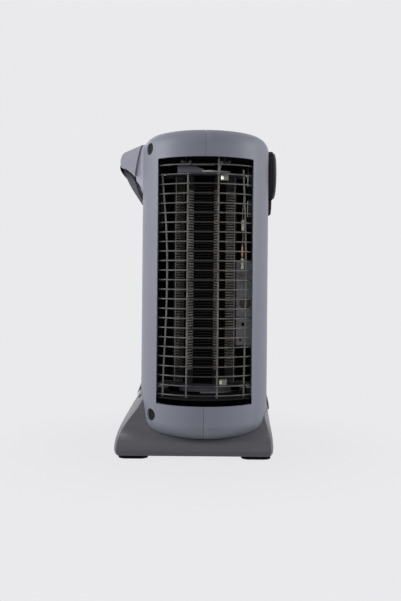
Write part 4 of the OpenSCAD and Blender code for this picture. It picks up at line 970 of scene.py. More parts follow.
for node in ("element_bottom_plate", "element_top_plate"):
    low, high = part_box(node)
    plate_r, on_top = (high.x - low.x) / 2, node == "element_top_plate"
    line = [(bore_r, low.z), (plate_r - rim_in, low.z), (plate_r, low.z + rim_step),
            (plate_r, high.z - rim_step), (plate_r - rim_in, high.z), (bore_r, high.z)]
    shapes = [turned(node, line, (axis_x, 0, 0), around=96, closed=True)]
    extras = []
    if on_top:
        n = len(tab_line)
        faces = [tuple(range(n)), tuple(reversed(range(n, 2 * n)))]
        faces += [(i, (i + 1) % n, (i + 1) % n + n, i + n) for i in range(n)]
        for turn in (0, pi):
            sheet = [Vector((x, y, high.z - tab_sunk + z)) for y in (tab_near, tab_far) for x, z in tab_line]
            extras.append(mesh_of("tab", [tuple(Matrix.Rotation(turn, 3, "Z") @ p) for p in sheet], faces))
        lip_low, lip_high = high.z, high.z + 0.0021
        strips = [(rim_r, lip_low, lip_high, -95, -55)]
    else:
        lip_low, lip_high = low.z - 0.0075, low.z - 0.0056
        strips = [(rim_r, lip_low, lip_high, -95, -50), (rim_r + 0.0002, lip_high, low.z, -125, -50)]
    extras += [rim_strip(r, z0, z1, start + turn, stop + turn)
               for r, z0, z1, start, stop in strips for turn in (0, 180)]
    for made in extras:
        made.transform(Matrix.Translation((axis_x, 0, 0)))
    plate = new_piece(node + "_pressed", joined(node, *shapes, *extras))
    shade(plate, 40)
    plate.data.materials.append(dull_steel)
    plate.data.materials.append(lip_steel)
    for face in plate.data.polygons:
        c = face.center
        far_out = Vector((c.x - axis_x, c.y)).length > rim_r - 0.0007
        in_plate = low.z - near <= c.z <= high.z + near
        if far_out and lip_low - near < c.z < lip_high + near and not in_plate:
            face.material_index = 1
    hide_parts(node)
top_plate = plate

# Six mica ribs stand between the plates. Their outer edges are notched for the winding, each a sixth of
# a turn higher than the last; the boards are pale and layered at the cut edges.
rib_low, rib_high = (v.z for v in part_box("mica_ribs"))
rib_out, rib_deep, rib_thick, turn_rise, turns = 0.042, 0.0126, 0.0015, 0.00376, 71
rib_turn = radians(-4.5)
coil_start = (rib_low + rib_high) / 2 - turns * turn_rise / 2
notch, notch_wide = 0.0009, 0.0012
rib_shapes = []
for i in range(6):
    line = [(rib_out - rib_deep, rib_high), (rib_out - rib_deep, rib_low), (rib_out, rib_low)]
    first = (i + 1) % 6
    for k in range(turns + (1 if first == 0 else 0)):
        z = coil_start + (k + first / 6) * turn_rise
        line += [(rib_out, z - notch_wide), (rib_out - notch, z - notch_wide * 0.55),
                 (rib_out - notch, z + notch_wide * 0.55), (rib_out, z + notch_wide)]
    line.append((rib_out, rib_high))
    made = slab_mesh("rib", line, rib_thick / 2)
    made.transform(Matrix.Translation((axis_x, 0, 0)) @ Matrix.Rotation(pi / 3 * i + rib_turn, 4, "Z"))
    rib_shapes.append(made)
ribs = new_piece("mica_ribs_notched", joined("mica_ribs_notched", *rib_shapes))


def mica_board(name, colour):
    """Pressed mica: warm grey, glinting flakes, and a dark band at each turn, part scorch, part painted
    shadow.
    """
    made, m = new_material(name)
    place = m.node("ShaderNodeTexCoord", out=3)
    flakes = m.node("ShaderNodeTexVoronoi", None, {"Vector": place, "Scale": 700.0})
    layers = m.noise(m.stretched(place, (900, 900, 60)), 1.0, 2.0)
    soot = m.noise(place, 45.0, 3.0)
    body = (flakes * 0.9 + layers * 0.4).ramp(0.2, 0.9).blend(toned(colour, 0.72), toned(colour, 1.3))
    x, y, z = m.part(m.node("ShaderNodeMapping", None, {0: place, "Location": (-axis_x, 0, -coil_start)}))
    turned_by = (m.maths("ARCTAN2", y, x) - rib_turn) * (1 / (2 * pi)) + 1 / 6
    from_wire = m.maths("PINGPONG", z * (1 / turn_rise) - turned_by + 20, 0.5)
    # Partly scorch and partly painted shadow: a dark band at each turn of the wire.
    scorch_and_shadow = 1 - from_wire.ramp(0.2, 0.3)
    # Darker past the winding's ends.
    ends = m.maths("ABSOLUTE", z - turns * turn_rise / 2).ramp(0.1235, 0.1275)
    # Painted shadow on the inner part of the left board.
    behind = x.ramp(-0.0375, -0.035) * (1 - x.ramp(-0.0285, -0.027)) * 0.75
    soot_and_shade = m.maths("MAXIMUM", m.maths("MAXIMUM", ends, behind) * 0.93, soot.ramp(0.42, 0.66) * 0.3)
    marked = m.maths("MAXIMUM", scorch_and_shadow * 0.94, soot_and_shade).blend(body, plain(24, 21, 20))
    return surfaced(made, m, marked, flakes * 0.3 + 0.45, layers + flakes, 0.4, 0.00004)


ribs.data.materials.append(mica_board("mica", plain(222, 216, 204)))
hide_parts("mica_ribs")

# One length of resistance wire is wound 71 times round the ribs, straight from notch to notch, and its
# two ends drop into the ceramic terminals. Use has left a dark oxide on it.
def wire_tree(name, material):
    """A tree that draws a round wire along a path of edges."""
    flow, size = shape_tree(name, {"Radius": "Float", "Sides": "Int"})
    ring = flow.node("GeometryNodeCurvePrimitiveCircle", None, {
        "Resolution": size["Sides"], "Radius": size["Radius"]})
    end_tree(flow, material, flow.node("GeometryNodeCurveToMesh", None, {
        "Curve": flow.node("GeometryNodeMeshToCurve", None, {0: size["Geometry"]}), "Profile Curve": ring,
        "Fill Caps": True}))
    return flow


oxide_wire = coated_wire("oxide_wire", plain(40, 34, 32), metallic=0.2, rough=0.6, worn=0.05)
bent_wire = wire_tree("bent_wire", oxide_wire)
coil_wire_r, coil_r, bend, slack = 0.00045, 0.0426, radians(1.6), 0.00002
block_low, block_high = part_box("ceramic_blocks")
block_x, block_y, tail_from, tail_to = 0.026, -0.041, 0.0082, 0.0092
lead = (axis_x + block_x, block_y)
coil = [(*lead, block_low.z + tail_from), (*lead, block_low.z + tail_to)]
for i in range(turns * 6 + 1):
    a = radians(-60 + 60 * i) + rib_turn
    for turn in (-bend, bend):
        flat_r = coil_r * cos(bend) - slack * (i * 7 % 5)
        coil.append((axis_x + flat_r * cos(a + turn), flat_r * sin(a + turn),
                     coil_start + (i + turn / radians(60)) * turn_rise / 6))
coil += [(*lead, block_high.z - tail_to), (*lead, block_high.z - tail_from)]
winding = grown("heating_wire_wound", path_mesh("winding", coil), bent_wire,
                {"Radius": coil_wire_r, "Sides": 8})
shade(winding, 70)
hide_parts("heating_wire")


# White steatite blocks hold the winding's ends, a pair for each flank. Each has a tinned clamp with a
# round screw, and the unglazed ceramic is chalky with a little soot.
def ceramic(name, colour):
    made, m = new_material(name)
    place = m.node("ShaderNodeTexCoord", out=3)
    grime = m.noise(place, 160.0, 4.0, 0.6)
    fine = m.noise(place, 2600.0, 2.0)
    body = grime.ramp(0.42, 0.75).blend(colour, toned(colour, 0.55))
    return surfaced(made, m, body, grime * 0.2 + 0.6, fine, 0.4, 0.00003)


white_ceramic = ceramic("white_ceramic", plain(150, 147, 140))
tinned = sheet_metal("terminal_clamp", plain(236, 230, 216), rough=0.35, metallic=0.3)
block_size = Vector((0.011, 0.007, 0.008))
shapes, clamps = [], []
for turn in (0, pi):
    for z in (block_low.z, block_high.z - block_size.z):
        low = Vector((block_x - block_size.x / 2, block_y - block_size.y / 2, z))
        made = block_mesh("block", low, low + block_size)
        clamp = block_mesh("clamp", low + Vector((0.0006, -0.0005, 0.0012)),
                           low + Vector((0.0042, 0.0003, 0.0060)))
        head = turned("head", [(0.0011, 0), (0.0011, 0.0005), (0.0008, 0.0008)],
                      low + Vector((0.0027, -0.0004, 0.004)), (0, -1, 0), 16)
        for mesh in (made, clamp, head):
            mesh.transform(Matrix.Translation((axis_x, 0, 0)) @ Matrix.Rotation(turn, 4, "Z"))
        shapes.append(made)
        clamps += [clamp, head]
blocks = new_piece("ceramic_terminals", joined("ceramic_terminals", *shapes))
round_edges(blocks, 0.0006, 2)
blocks.data.materials.append(white_ceramic)
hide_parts("ceramic_blocks")
terminal_clamps = new_piece("terminal_clamps", joined("terminal_clamps", *clamps))
round_edges(terminal_clamps, 0.0001, 1)
terminal_clamps.data.materials.append(tinned)

# The thermal fuse hangs on its bare leads beside the element: a copper-coloured capsule between two
# woven glass-fibre sleeves, over a small ceramic connector on the shield's lug.
fuse_low, fuse_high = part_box("thermal_fuse")
chain_x, chain_y = (fuse_low.x + fuse_high.x) / 2, (fuse_low.y + fuse_high.y) / 2
sleeve_low, sleeve_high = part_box("fuse_sleeves")
lead_r, capsule_at = 0.0006, 0.2665
copper_wire = coated_wire("copper_lead", plain(178, 158, 138), metallic=0.5, rough=0.35, worn=0.6)
lead_line = curved([(chain_x, chain_y, fuse_low.z), (chain_x - 0.0002, chain_y, 0.262),
                    (chain_x - 0.0004, chain_y, 0.275), (chain_x + 0.0004, chain_y - 0.0003, 0.292),
                    (chain_x + 0.0003, chain_y, 0.312), (chain_x - 0.0003, chain_y, 0.328),
                    (chain_x + 0.0010, chain_y - 0.0004, 0.347), (chain_x + 0.0013, chain_y, 0.362),
                    (chain_x, chain_y, fuse_high.z)], 6)
leads = grown("fuse_leads", path_mesh("leads", lead_line), wire_tree("lead_wire", copper_wire),
              {"Radius": lead_r, "Sides": 12})
shade(leads, 60)
capsule_line = [(lead_r, 0.0), (0.0013, 0.0008), (0.0017, 0.0020), (0.0019, 0.0027), (0.0019, 0.0111),
                (0.0017, 0.0117), (0.0017, 0.0123), (0.0019, 0.0129), (0.0019, 0.0141), (0.0015, 0.0149),
                (0.0009, 0.0167), (lead_r, 0.0185)]
capsule = new_piece("fuse_capsule", turned("fuse_capsule", capsule_line,
                                           (chain_x - 0.0003, chain_y, capsule_at), around=24))
shade(capsule, 40)
capsule.data.materials.append(sheet_metal("fuse_copper", plain(206, 150, 108), rough=0.35, metallic=0.7))
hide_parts("thermal_fuse")


def woven_sleeve(name, colour):
    """Varnished glass braid: a fine crossed weave round the sleeve, browned by the varnish."""
    made, m = new_material(name)
    place = m.node("ShaderNodeTexCoord", out=3)
    x, y, z = m.part(m.node("ShaderNodeMapping", None, {
        0: place, "Location": (-chain_x, -chain_y, 0)}))
    around = m.maths("ARCTAN2", y, x)
    weave = m.maths("SINE", around * 9 + z * 7000) * m.maths("SINE", around * 9 - z * 7000)
    stain = m.noise(place, 240.0, 3.0)
    body = (weave * 0.3 + 0.5).blend(toned(colour, 0.66), colour)
    marked = (stain.ramp(0.45, 0.75) * 0.35).blend(body, plain(190, 172, 140))
    return surfaced(made, m, marked, stain * 0.2 + 0.6, weave, 0.6, 0.00008)


shapes = []
sleeve_long, sleeve_r, sleeve_end_r, sleeve_bore = 0.015, 0.0023, 0.00205, 0.0007
for k, z in enumerate((sleeve_low.z, sleeve_high.z - sleeve_long)):
    outer = [(sleeve_end_r, z), (sleeve_r, z + 0.0002)]
    outer += [(sleeve_r + 0.0001 * sin(2.1 * i + 3 * k), z + 0.0004 + 0.0142 * i / 12) for i in range(13)]
    outer += [(sleeve_r, z + 0.0148), (sleeve_end_r, z + sleeve_long)]
    shapes.append(turned("sleeve", [(sleeve_bore, z)] + outer + [(sleeve_bore, z + sleeve_long)],
                         (chain_x + 0.0003 * k, chain_y, 0), around=24, closed=True))
sleeves = new_piece("fuse_sleeves_woven", joined("fuse_sleeves_woven", *shapes))
shade(sleeves, 50)
sleeves.data.materials.append(woven_sleeve("fibre_sleeve", plain(250, 246, 234)))
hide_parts("fuse_sleeves")
connector_low, connector_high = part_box("fuse_block")
connector = new_piece("fuse_connector", block_mesh("fuse_connector", connector_low, connector_high))
port_off, port_r, port_z = 0.002, 0.0012, connector_low.z + 0.0055
for x in (chain_x - port_off, chain_x + port_off):
    carve(connector, rod_mesh("port", (x, connector_low.y - 0.001, port_z),
                              (x, connector_low.y + 0.003, port_z), port_r, 20))
round_edges(connector, 0.0005, 2)
connector.data.materials.append(white_ceramic)
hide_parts("fuse_block")

# A bright aluminised sheet on the front baffle carries the thermal cutout. A ledge pressed across it and
# two holes stiffen and locate it; the cutout is a phenolic disc with a crimped steel cup.
sheet_low, sheet_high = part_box("cutout_plate")
ledge_z, ledge_out, ledge_foot, ledge_half = 0.190, 0.0016, 0.009, 0.0078
line = [(0, sheet_low.z), (0, ledge_z - ledge_foot), (ledge_out, ledge_z - ledge_half),
        (ledge_out, ledge_z + ledge_half), (0, ledge_z + ledge_foot), (0, sheet_high.z)]
section = ([(sheet_low.y - out, z) for out, z in line]
           + [(sheet_high.y - out, z) for out, z in line[::-1]])
points = [(x, y, z) for x in (sheet_low.x, sheet_high.x) for y, z in section]
n = len(section)
faces = [tuple(range(n)), tuple(reversed(range(n, 2 * n)))]
faces += [(i, i + n, (i + 1) % n + n, (i + 1) % n) for i in range(n)]
bright_sheet = new_piece("cutout_sheet", mesh_of("cutout_sheet", points, faces))
for x, z, r in ((0.006, sheet_high.z - 0.008, 0.0017), (0.006, sheet_low.z + 0.008, 0.0017),
                (0.010, sheet_low.z + 0.030, 0.0025)):
    carve(bright_sheet, rod_mesh("hole", (sheet_low.x + x, sheet_low.y - 0.002, z),
                                 (sheet_low.x + x, sheet_high.y + 0.0001, z), r, 24))
round_edges(bright_sheet, 0.0002, 2, 30)
bright_sheet.data.materials.append(sheet_metal("aluminised_sheet", plain(134, 134, 138), rough=0.42,
                                               grain=(0.04, 1, 1), metallic=0.5))
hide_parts("cutout_plate")
disc_low, disc_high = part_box("thermal_cutout")
disc = (disc_low + disc_high) / 2
cutout_line = [(0.0035, 0.0), (0.0079, 0.0), (0.008, 0.0003), (0.008, 0.0022), (0.0074, 0.0026),
               (0.0074, 0.0046), (0.0071, 0.005), (0.0052, 0.005), (0.005, 0.0052), (0.005, 0.0072),
               (0.0046, 0.0075)]
cutout = new_piece("thermal_cutout_disc", turned("thermal_cutout_disc", cutout_line,
                                                 (disc.x, disc_high.y, disc.z), (0, -1, 0), 40))
shade(cutout, 40)
cutout.data.materials.append(moulded_plastic("phenolic", plain(92, 84, 76), rough=0.5))
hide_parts("thermal_cutout")


# A shield of dark coated sheet stands between the element and the controls, and another behind. A dark
# tube inside the ribs and two sheets beside them, with bright folded edges, turn the air out through
# the winding.
def refinish(finish, *nodes):
    """Give pieces whose CAD shape is right a finish."""
    for node in nodes:
        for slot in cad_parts[node].material_slots:
            slot.material = finish


shield_black = sheet_metal("shield_black", plain(30, 30, 33), rough=0.6, metallic=0.2)
enamel = sheet_metal("black_enamel", plain(7, 6, 6), rough=0.8, metallic=0.0, gloss=0.08)
refinish(shield_black, "heat_shield_front", "heat_shield_rear")
refinish(enamel, "core_tube")
baffle_low, baffle_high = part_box("air_baffles")
shield_top, inner, outer, upper = 0.308, 0.04435, baffle_high.x - axis_x, 0.0598
sheet_half, sheet_thick, fold_in, fold_out, fold_from = 0.0005, 0.001, 0.002, 0.011, 0.002
line = [(inner, baffle_low.z), (outer, baffle_low.z), (outer, shield_top), (upper, shield_top),
        (upper, baffle_high.z), (inner, baffle_high.z)]
shapes = []
for turn in (0, pi):
    sheets = [slab_mesh("sheet", line, sheet_half)]
    for side in (-1, 1):
        plan = [(0, 0), (sheet_thick, 0), (-fold_in, side * fold_out),
                (-fold_in - sheet_thick, side * fold_out)][::side]
        fold = [(inner + x, y, z) for z in (baffle_low.z, baffle_high.z) for x, y in plan]
        sheets.append(mesh_of("fold", fold, [(3, 2, 1, 0), (4, 5, 6, 7), (0, 1, 5, 4), (1, 2, 6, 5),
                                             (2, 3, 7, 6), (3, 0, 4, 7)]))
    for made in sheets:
        made.transform(Matrix.Translation((axis_x, 0, 0)) @ Matrix.Rotation(turn, 4, "Z"))
        shapes.append(made)
baffles = new_piece("air_baffles_folded", joined("air_baffles_folded", *shapes))
baffles.data.materials.append(enamel)
baffles.data.materials.append(lip_steel)
for face in baffles.data.polygons:
    if abs(face.center.y) > fold_from:
        face.material_index = 1
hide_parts("air_baffles")

# Plated brackets carry the element, the motor and the controls: the element's are bent sheet, the others
# flat. The rod and nuts that clamp the element and the thermostat's shaft are plated too.
zinc = sheet_metal("zinc_sheet", plain(116, 118, 124), rough=0.42, grain=(1, 0.05, 1))
dark_zinc = sheet_metal("sooted_zinc", plain(70, 70, 74), rough=0.5, grain=(0.05, 1, 1), heat=0.4)
plated = sheet_metal("plated_steel", plain(150, 150, 150), rough=0.35, metallic=0.9)
refinish(dark_zinc, "element_top_bracket", "element_bottom_bracket", "motor_end_cap")
refinish(zinc, "motor_bracket", "control_plate")
refinish(plated, "tie_rod", "tie_nuts", "thermostat_shaft")

# Black moulded parts sit inside: the shroud that the fan turns in, the switches and the thermostat's
# body. The tip-over plunger and the terminal block are natural nylon, the bottom plate dark plastic.
inner_plastic = moulded_plastic("black_moulding", plain(34, 34, 36), rough=0.5, worn=0.2)
nylon = moulded_plastic("natural_nylon", plain(206, 203, 192), rough=0.4, uneven=0.03, worn=0.0)
under_plastic = moulded_plastic("bottom_plate", plain(52, 52, 55), rough=0.55)
shroud_plastic = moulded_plastic("shroud_moulding", plain(22, 21, 22), rough=0.7, worn=0.05, gloss=0.12)
refinish(inner_plastic, "mode_switch", "power_switch", "thermostat_body", "tip_switch")
refinish(nylon, "tip_plunger", "terminal_block")
refinish(under_plastic, "base_plate")
refinish(shroud_plastic, "fan_shroud")

# The motor is a plain pressed steel can with a rounded bottom edge and eight vent slots. Its rotor and
# shaft turn inside, in the can's bottom and in the end cap.
can_low, can_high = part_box("motor_can")
can_r, can_wall, shaft_bore, vents, vent_half = (can_high.x - can_low.x) / 2, 0.002, 0.00305, 8, 0.0016
can_line = [(shaft_bore, can_low.z), (can_r - 0.0012, can_low.z), (can_r - 0.0003, can_low.z + 0.0004),
            (can_r, can_low.z + 0.0013), (can_r, can_high.z), (can_r - can_wall, can_high.z),
            (can_r - can_wall, can_low.z + can_wall), (shaft_bore, can_low.z + can_wall)]
can = new_piece("motor_can_pressed", turned("motor_can_pressed", can_line, (axis_x, 0, 0), around=64,
                                            closed=True))
for k in range(vents):
    vent = block_mesh("vent", (can_r - 0.004, -vent_half, can_low.z + 0.007),
                      (can_r + 0.002, vent_half, can_high.z - 0.005))
    vent.transform(Matrix.Translation((axis_x, 0, 0)) @ Matrix.Rotation(2 * pi * k / vents, 4, "Z"))
    carve(can, vent)
shade(can, 40)
can.data.materials.append(zinc)
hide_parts("motor_can")
refinish(dark_zinc, "motor_rotor")

# The fan is one black moulding: a hub on the motor's shaft and seven twisted blades, steeper at the
# root than at the tip. It turns in the shroud's collar under the element.
fan_low, fan_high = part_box("fan_impeller")
fan_r, hub_r, hub_tall, blades, root_in = 0.050, 0.014, fan_high.z - fan_low.z, 7, 0.002
root_pitch, less_pitch, root_chord, more_chord, crown, half_thick = 42, 16, 0.017, 0.006, 0.0012, 0.0009
blade_steps, blade_rows = 9, 7
points, faces, top = [], [], hub_tall / 2 - 0.0003
for side in (1, -1):
    for i in range(blade_steps):
        out = i / (blade_steps - 1)
        r = hub_r - root_in + (fan_r - 0.0002 - hub_r + root_in) * out
        pitch = radians(root_pitch - less_pitch * out)
        chord = root_chord + more_chord * sin(pi / 2 * out)
        for j in range(blade_rows):
            s = 2 * j / (blade_rows - 1) - 1
            rise = crown * (1 - s * s) + half_thick * sqrt(max(0.08, 1 - s * s)) * side
            y = chord / 2 * s * cos(pitch) - rise * sin(pitch)
            z = chord / 2 * s * sin(pitch) + rise * cos(pitch)
            points.append((sqrt(max(r * r - y * y, 0)), y, max(-top, min(top, z))))
n = blade_steps * blade_rows
for i in range(blade_steps - 1):
    for j in range(blade_rows - 1):
        a = i * blade_rows + j
        faces += [(a, a + 1, a + 1 + blade_rows, a + blade_rows),
                  (a + n, a + n + blade_rows, a + n + 1 + blade_rows, a + n + 1)]
rim = (list(range(blade_rows)) + [i * blade_rows + blade_rows - 1 for i in range(1, blade_steps)]
       + [(blade_steps - 1) * blade_rows + j for j in range(blade_rows - 2, -1, -1)]
       + [i * blade_rows for i in range(blade_steps - 2, 0, -1)])
faces += [(a, b, b + n, a + n) for a, b in zip(rim, rim[1:] + rim[:1])]
blade = mesh_of("blade", points, faces)
shapes = []
fan_middle = Matrix.Translation((axis_x, 0, (fan_low.z + fan_high.z) / 2))
for k in range(blades):
    made = blade.copy()
    made.transform(fan_middle @ Matrix.Rotation(2 * pi * k / blades, 4, "Z"))
    shapes.append(made)
hub_line = [(shaft_bore, fan_low.z + 0.0004), (0.0055, fan_low.z), (0.0058, fan_low.z + 0.008),
            (0.0122, fan_low.z + 0.008), (0.0124, fan_low.z), (hub_r - 0.0003, fan_low.z),
            (hub_r, fan_low.z + 0.0004), (hub_r, fan_high.z - 0.002), (hub_r - 0.002, fan_high.z),
            (shaft_bore, fan_high.z)]
shapes.append(turned("hub", hub_line, (axis_x, 0, 0), around=48, closed=True))
impeller = new_piece("fan_moulded", joined("fan_moulded", *shapes), "fan")
shade(impeller, 40)
impeller.data.materials.append(inner_plastic)
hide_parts("fan_impeller")

# The thermostat's dial is a black knurled rim with a softly domed cap let into it. The ridges are
# moulded round its edge, and a raised line on the cap shows where it is set.
dial_r, dial_thick, ridge_r = 0.035, dial_high.x - dial_low.x, 0.0009
dial_black = moulded_plastic("dial_black", plain(20, 20, 21), grain=0.0003, rough=0.6, worn=0.15, gloss=0.3)
cap_black = moulded_plastic("cap_black", plain(44, 44, 46), grain=0.0003, rough=0.4, worn=0.2)
dial_at = (dial_low.x, 0, dial_z)
rim_line = [(shaft_bore, 0.0), (0.0048, 0.0), (0.0052, 0.0004), (0.006, 0.0055), (0.031, 0.0055),
            (0.0312, 0.0004), (0.0316, 0.0), (dial_r - 0.0016, 0.0), (dial_r - ridge_r, 0.0006),
            (dial_r - ridge_r, dial_thick - 0.0008), (dial_r - 0.0017, dial_thick),
            (shaft_bore, dial_thick)]
rim_body = turned("rim", rim_line, dial_at, (1, 0, 0), 96, closed=True)
knurl, size = shape_tree("knurled_rim", {"Ridges": "Int", "Rim radius": "Float", "Centre": "Vector",
                                         "Ridge radius": "Float", "Length": "Float"})
spots = knurl.node("GeometryNodeMeshCircle", None, {
    "Vertices": size["Ridges"], "Radius": size["Rim radius"]})
ridge = knurl.node("GeometryNodeMeshCylinder", None, {
    "Vertices": 10, "Side Segments": 1, "Fill Segments": 1, "Radius": size["Ridge radius"],
    "Depth": size["Length"]})
ridges = knurl.node("GeometryNodeInstanceOnPoints", None, {"Points": spots, "Instance": ridge})
placed = knurl.node("GeometryNodeTransform", None, {
    "Geometry": ridges, "Translation": size["Centre"], "Rotation": (0, pi / 2, 0)})
end_tree(knurl, dial_black, size["Geometry"], placed)
dial = grown("dial_rim", rim_body, knurl, {
    "Ridges": 60, "Rim radius": dial_r - ridge_r, "Centre": (dial_low.x + dial_thick / 2, 0, dial_z),
    "Ridge radius": ridge_r, "Length": dial_thick - 0.0014}, "dial")
shade(dial, 40)
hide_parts("thermostat_dial")
cap_low, cap_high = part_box("dial_cap")
cap_proud, pointer_half, pointer_from, channel_in = 0.0006, 0.0009, 0.010, 0.0072
cap_tall, cap_r = cap_high.x - cap_low.x + cap_proud, (cap_high.z - cap_low.z) / 2
# The way in from the edge and the share of the height; the narrow channel rings the raised middle
cap_line = [(cap_r - inward, cap_tall * share) for inward, share in (
    (cap_r * 0.02, 0.0), (0, 0.05), (0, 0.3), (cap_r * 0.012, 0.48), (0.0016, 0.66), (0.0034, 0.82),
    (0.006, 0.9), (0.0064, 0.84), (channel_in, 0.84), (0.0076, 0.92), (0.012, 0.97))]
cap_line += [(0.008, cap_tall * 0.98), (0.0003, cap_tall * 0.98)]
cap = new_piece("dial_cap_domed", turned("dial_cap_domed", cap_line, (cap_low.x, 0, dial_z), (1, 0, 0), 96),
                "dial")
pointer = block_mesh("pointer", (cap_low.x + cap_tall * 0.5, -pointer_half, dial_z + pointer_from),
                     (cap_low.x + cap_tall * 1.02, pointer_half, dial_z + cap_r - channel_in))
carve(cap, pointer, "UNION")
round_edges(cap, 0.00025, 2, 40)
cap.data.materials.append(cap_black)
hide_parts("dial_cap")

# The mode button under the dial is a small black key with rounded edges, a dished face and a lower edge
# that slopes back. Its flange and stem run behind the shell to the switch.
key_x, key_y, key_z, key_stem, flange_out, key_slope = mode_high.x, 0.010, 0.011, 0.0025, 0.002, 0.16
key_back = front_x - wall - 0.0035
key = new_piece("mode_key_moulded", block_mesh("key", (key_back + 0.001, -key_y, mode_z - key_z + key_short),
                                               (key_x, key_y, mode_z + key_z)), "mode_key")
carve(key, block_mesh("stem", (mode_low.x, -key_stem, mode_z - key_stem),
                      (mode_low.x + 0.012, key_stem, mode_z + key_stem)), "UNION")
carve(key, block_mesh("flange", (key_back, -key_y - flange_out, mode_z - key_z - flange_out),
                      (key_back + flange_out, key_y + flange_out, mode_z + key_z + flange_out)), "UNION")
dish_r, dish_deep = 0.030, 0.0007
dish = turned("dish", [(dish_r * sin(t), dish_r * (1 - cos(t))) for t in (0.03, 0.1, 0.2, 0.3, 0.4)],
              (key_x - dish_deep, 0, mode_z), (1, 0, 0), 64)
round_edges(key, 0.0012, 3, 50)
carve(key, dish)
for corner in key.data.vertices:
    if corner.co.x > key_x - 0.004:
        corner.co.x -= key_slope * max(0.0, mode_z - 0.001 - corner.co.z)
round_edges(key, 0.0003, 2, 50)
key.data.materials.append(dial_black)
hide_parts("mode_button")

# The power button stands in the column's foot, its lower half in a notch of the base's apron. It is a
# round black moulding with a shallow domed face that leans back, on a flanged stem.
lean, stem_r, flange_r, dome = radians(10), 0.0025, power_r + 0.0015, 0.00035
face_at = Vector((front_x + 0.0044, 0, power_z))
stem_line = [(stem_r, 0.0), (stem_r, 0.006), (power_r, 0.006), (power_r, 0.009), (flange_r, 0.009),
             (flange_r, 0.011), (power_r, 0.011), (power_r, face_at.x - 0.0032 - power_low.x),
             (power_r - 0.0006, face_at.x - 0.0026 - power_low.x)]
button = new_piece("power_button_domed", turned("power_button_domed", stem_line, (power_low.x, 0, power_z),
                                                (1, 0, 0), 72), "power_key")
lens_r = power_r - 0.0014
lens_line = [(lens_r, -0.0056), (lens_r, -0.0014), (lens_r - 0.0004, -0.0008), (lens_r - 0.0012, -dome)]
lens_line += [(r, -dome * (r / lens_r) ** 2) for r in (0.008, 0.006, 0.004, 0.002, 0.0003)]
carve(button, turned("lens", lens_line, face_at, (cos(lean), 0, sin(lean)), 72), "UNION")
shade(button, 40)
button.data.materials.append(moulded_plastic("button_black", plain(52, 52, 57), rough=0.38, worn=0.3))
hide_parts("power_button")

# Plated pan-head screws with cross recesses hold it all together, self-tapping in the plastic posts.
# One tree stands a screw at every spot, turned the way that the spot says.
screws, size = shape_tree("screws", {"Screw": "Object"})
screw_shape = screws.node("GeometryNodeObjectInfo", None, {"Object": size["Screw"]}, "Geometry")
aim = screws.node("GeometryNodeInputNamedAttribute", {"data_type": "FLOAT_VECTOR"}, {"Name": "aim"})
end_tree(screws, plated, screws.node("GeometryNodeInstanceOnPoints", None, {
    "Points": size["Geometry"], "Instance": screw_shape, "Rotation": aim}))


def screw_mesh(length):
    """A screw that points up +Z from its head's underside, with a coarse thread and a cross recess."""
    root_r, crest_r, pitch = 0.0016, 0.002, 0.0015
    line = [(0.0028, -0.0025), (0.0036, -0.0021), (0.004, -0.0012), (0.004, 0.0), (crest_r, 0.0)]
    for h in (0.001 + pitch * k for k in range(int((length - 0.003) / pitch))):
        line += [(root_r, h), (crest_r, h + pitch * 0.45), (root_r, h + pitch * 0.9)]
    line += [(0.0015, length - 0.0018), (0.0004, length)]
    made = bpy.data.objects.new("screw", turned("screw", line, (0, 0, 0), around=16))
    bpy.context.scene.collection.objects.link(made)
    for turn in (0, pi / 2):
        blade = block_mesh("recess", (-0.0022, -0.0004, -0.003), (0.0022, 0.0004, -0.0011))
        blade.transform(Matrix.Rotation(turn, 4, "Z"))
        carve(made, blade)
    return made


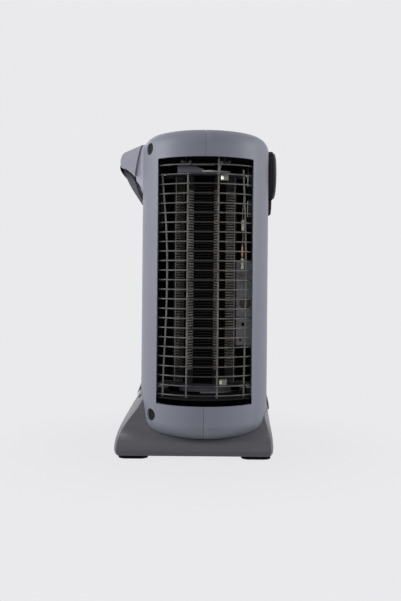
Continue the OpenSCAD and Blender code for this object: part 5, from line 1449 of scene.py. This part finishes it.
def screw_set(node, length, spots):
    """Screws at (place, direction) spots, standing for a node."""
    mesh = bpy.data.meshes.new(node)
    mesh.from_pydata([place for place, _ in spots], [], [])
    turns = mesh.attributes.new("aim", "FLOAT_VECTOR", "POINT")
    for i, (_, direction) in enumerate(spots):
        turns.data[i].vector = Vector(direction).to_track_quat("Z", "Y").to_euler()
    one = screw_mesh(length)
    made = grown(node + "_set", mesh, screws, {"Screw": one})
    old = one.data
    bpy.data.objects.remove(one)
    bpy.data.meshes.remove(old)
    shade(made, 40)
    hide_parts(node)


def about_axis(x, y, z, direction):
    """Screws at the same distances on every side of the column's axis, all aimed one way."""
    return [((axis_x + side * x, end * y, z), direction) for side in both for end in (both if y else (1,))]


both, up, down = (-1, 1), (0, 0, 1), (0, 0, -1)
shield_low, shield_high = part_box("shield_screws")
shield_zs = shield_low.z + 0.004, shield_high.z - 0.004
panel_low, panel_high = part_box("control_plate")
panel_zs = panel_low.z + 0.006, panel_high.z - 0.005
shield_x, sheet_screw_y = 0.071, 0.015
screw_set("shell_screws", 0.070, [((rear_x + hole_in, y, z), (1, 0, 0)) for y, z in hole_spots])
screw_set("base_screws", 0.012, about_axis(0.045, 0.040, 0.0222, up))
screw_set("plate_screws", 0.011, about_axis(0.065, 0.048, 0.005, up))
screw_set("handle_screws", 0.024, [((rear_x + wall, y * handle_screw_y, handle_screw_z), (-1, 0, 0))
                                   for y in both])
screw_set("bracket_screws", 0.013, about_axis(0.029, 0, 0.404, up))
screw_set("shield_screws", 0.011, [((axis_x + side * shield_x, y * sheet_screw_y, z), (side, 0, 0))
                                   for side in both for y in both for z in shield_zs])
screw_set("shroud_screws", 0.007, about_axis(0.0805, 0.010, 0.0795, down))
screw_set("motor_screws", 0.006, about_axis(0.052, 0, 0.034, down))
screw_set("control_screws", 0.011, [((panel_low.x, y * sheet_screw_y, z), (1, 0, 0))
                                    for y in both for z in panel_zs])

# A small lamp beside the camera lights only the pale inner pieces, as a flash does through the guard.
# Light linking keeps it off the shells and the guard, which the studio's lamps light.
soft_lamp("inner_lamp", (0.10, -1.0, 0.50), (0.04, -0.03, 0.24), 0.12, 0.12, 2.6)
lit_pieces = bpy.data.collections.new("lit_inside")
for piece in (sleeves, capsule, leads, terminal_clamps, blocks, top_plate):
    lit_pieces.objects.link(piece)
bpy.data.objects["inner_lamp"].light_linking.receiver_collection = lit_pieces
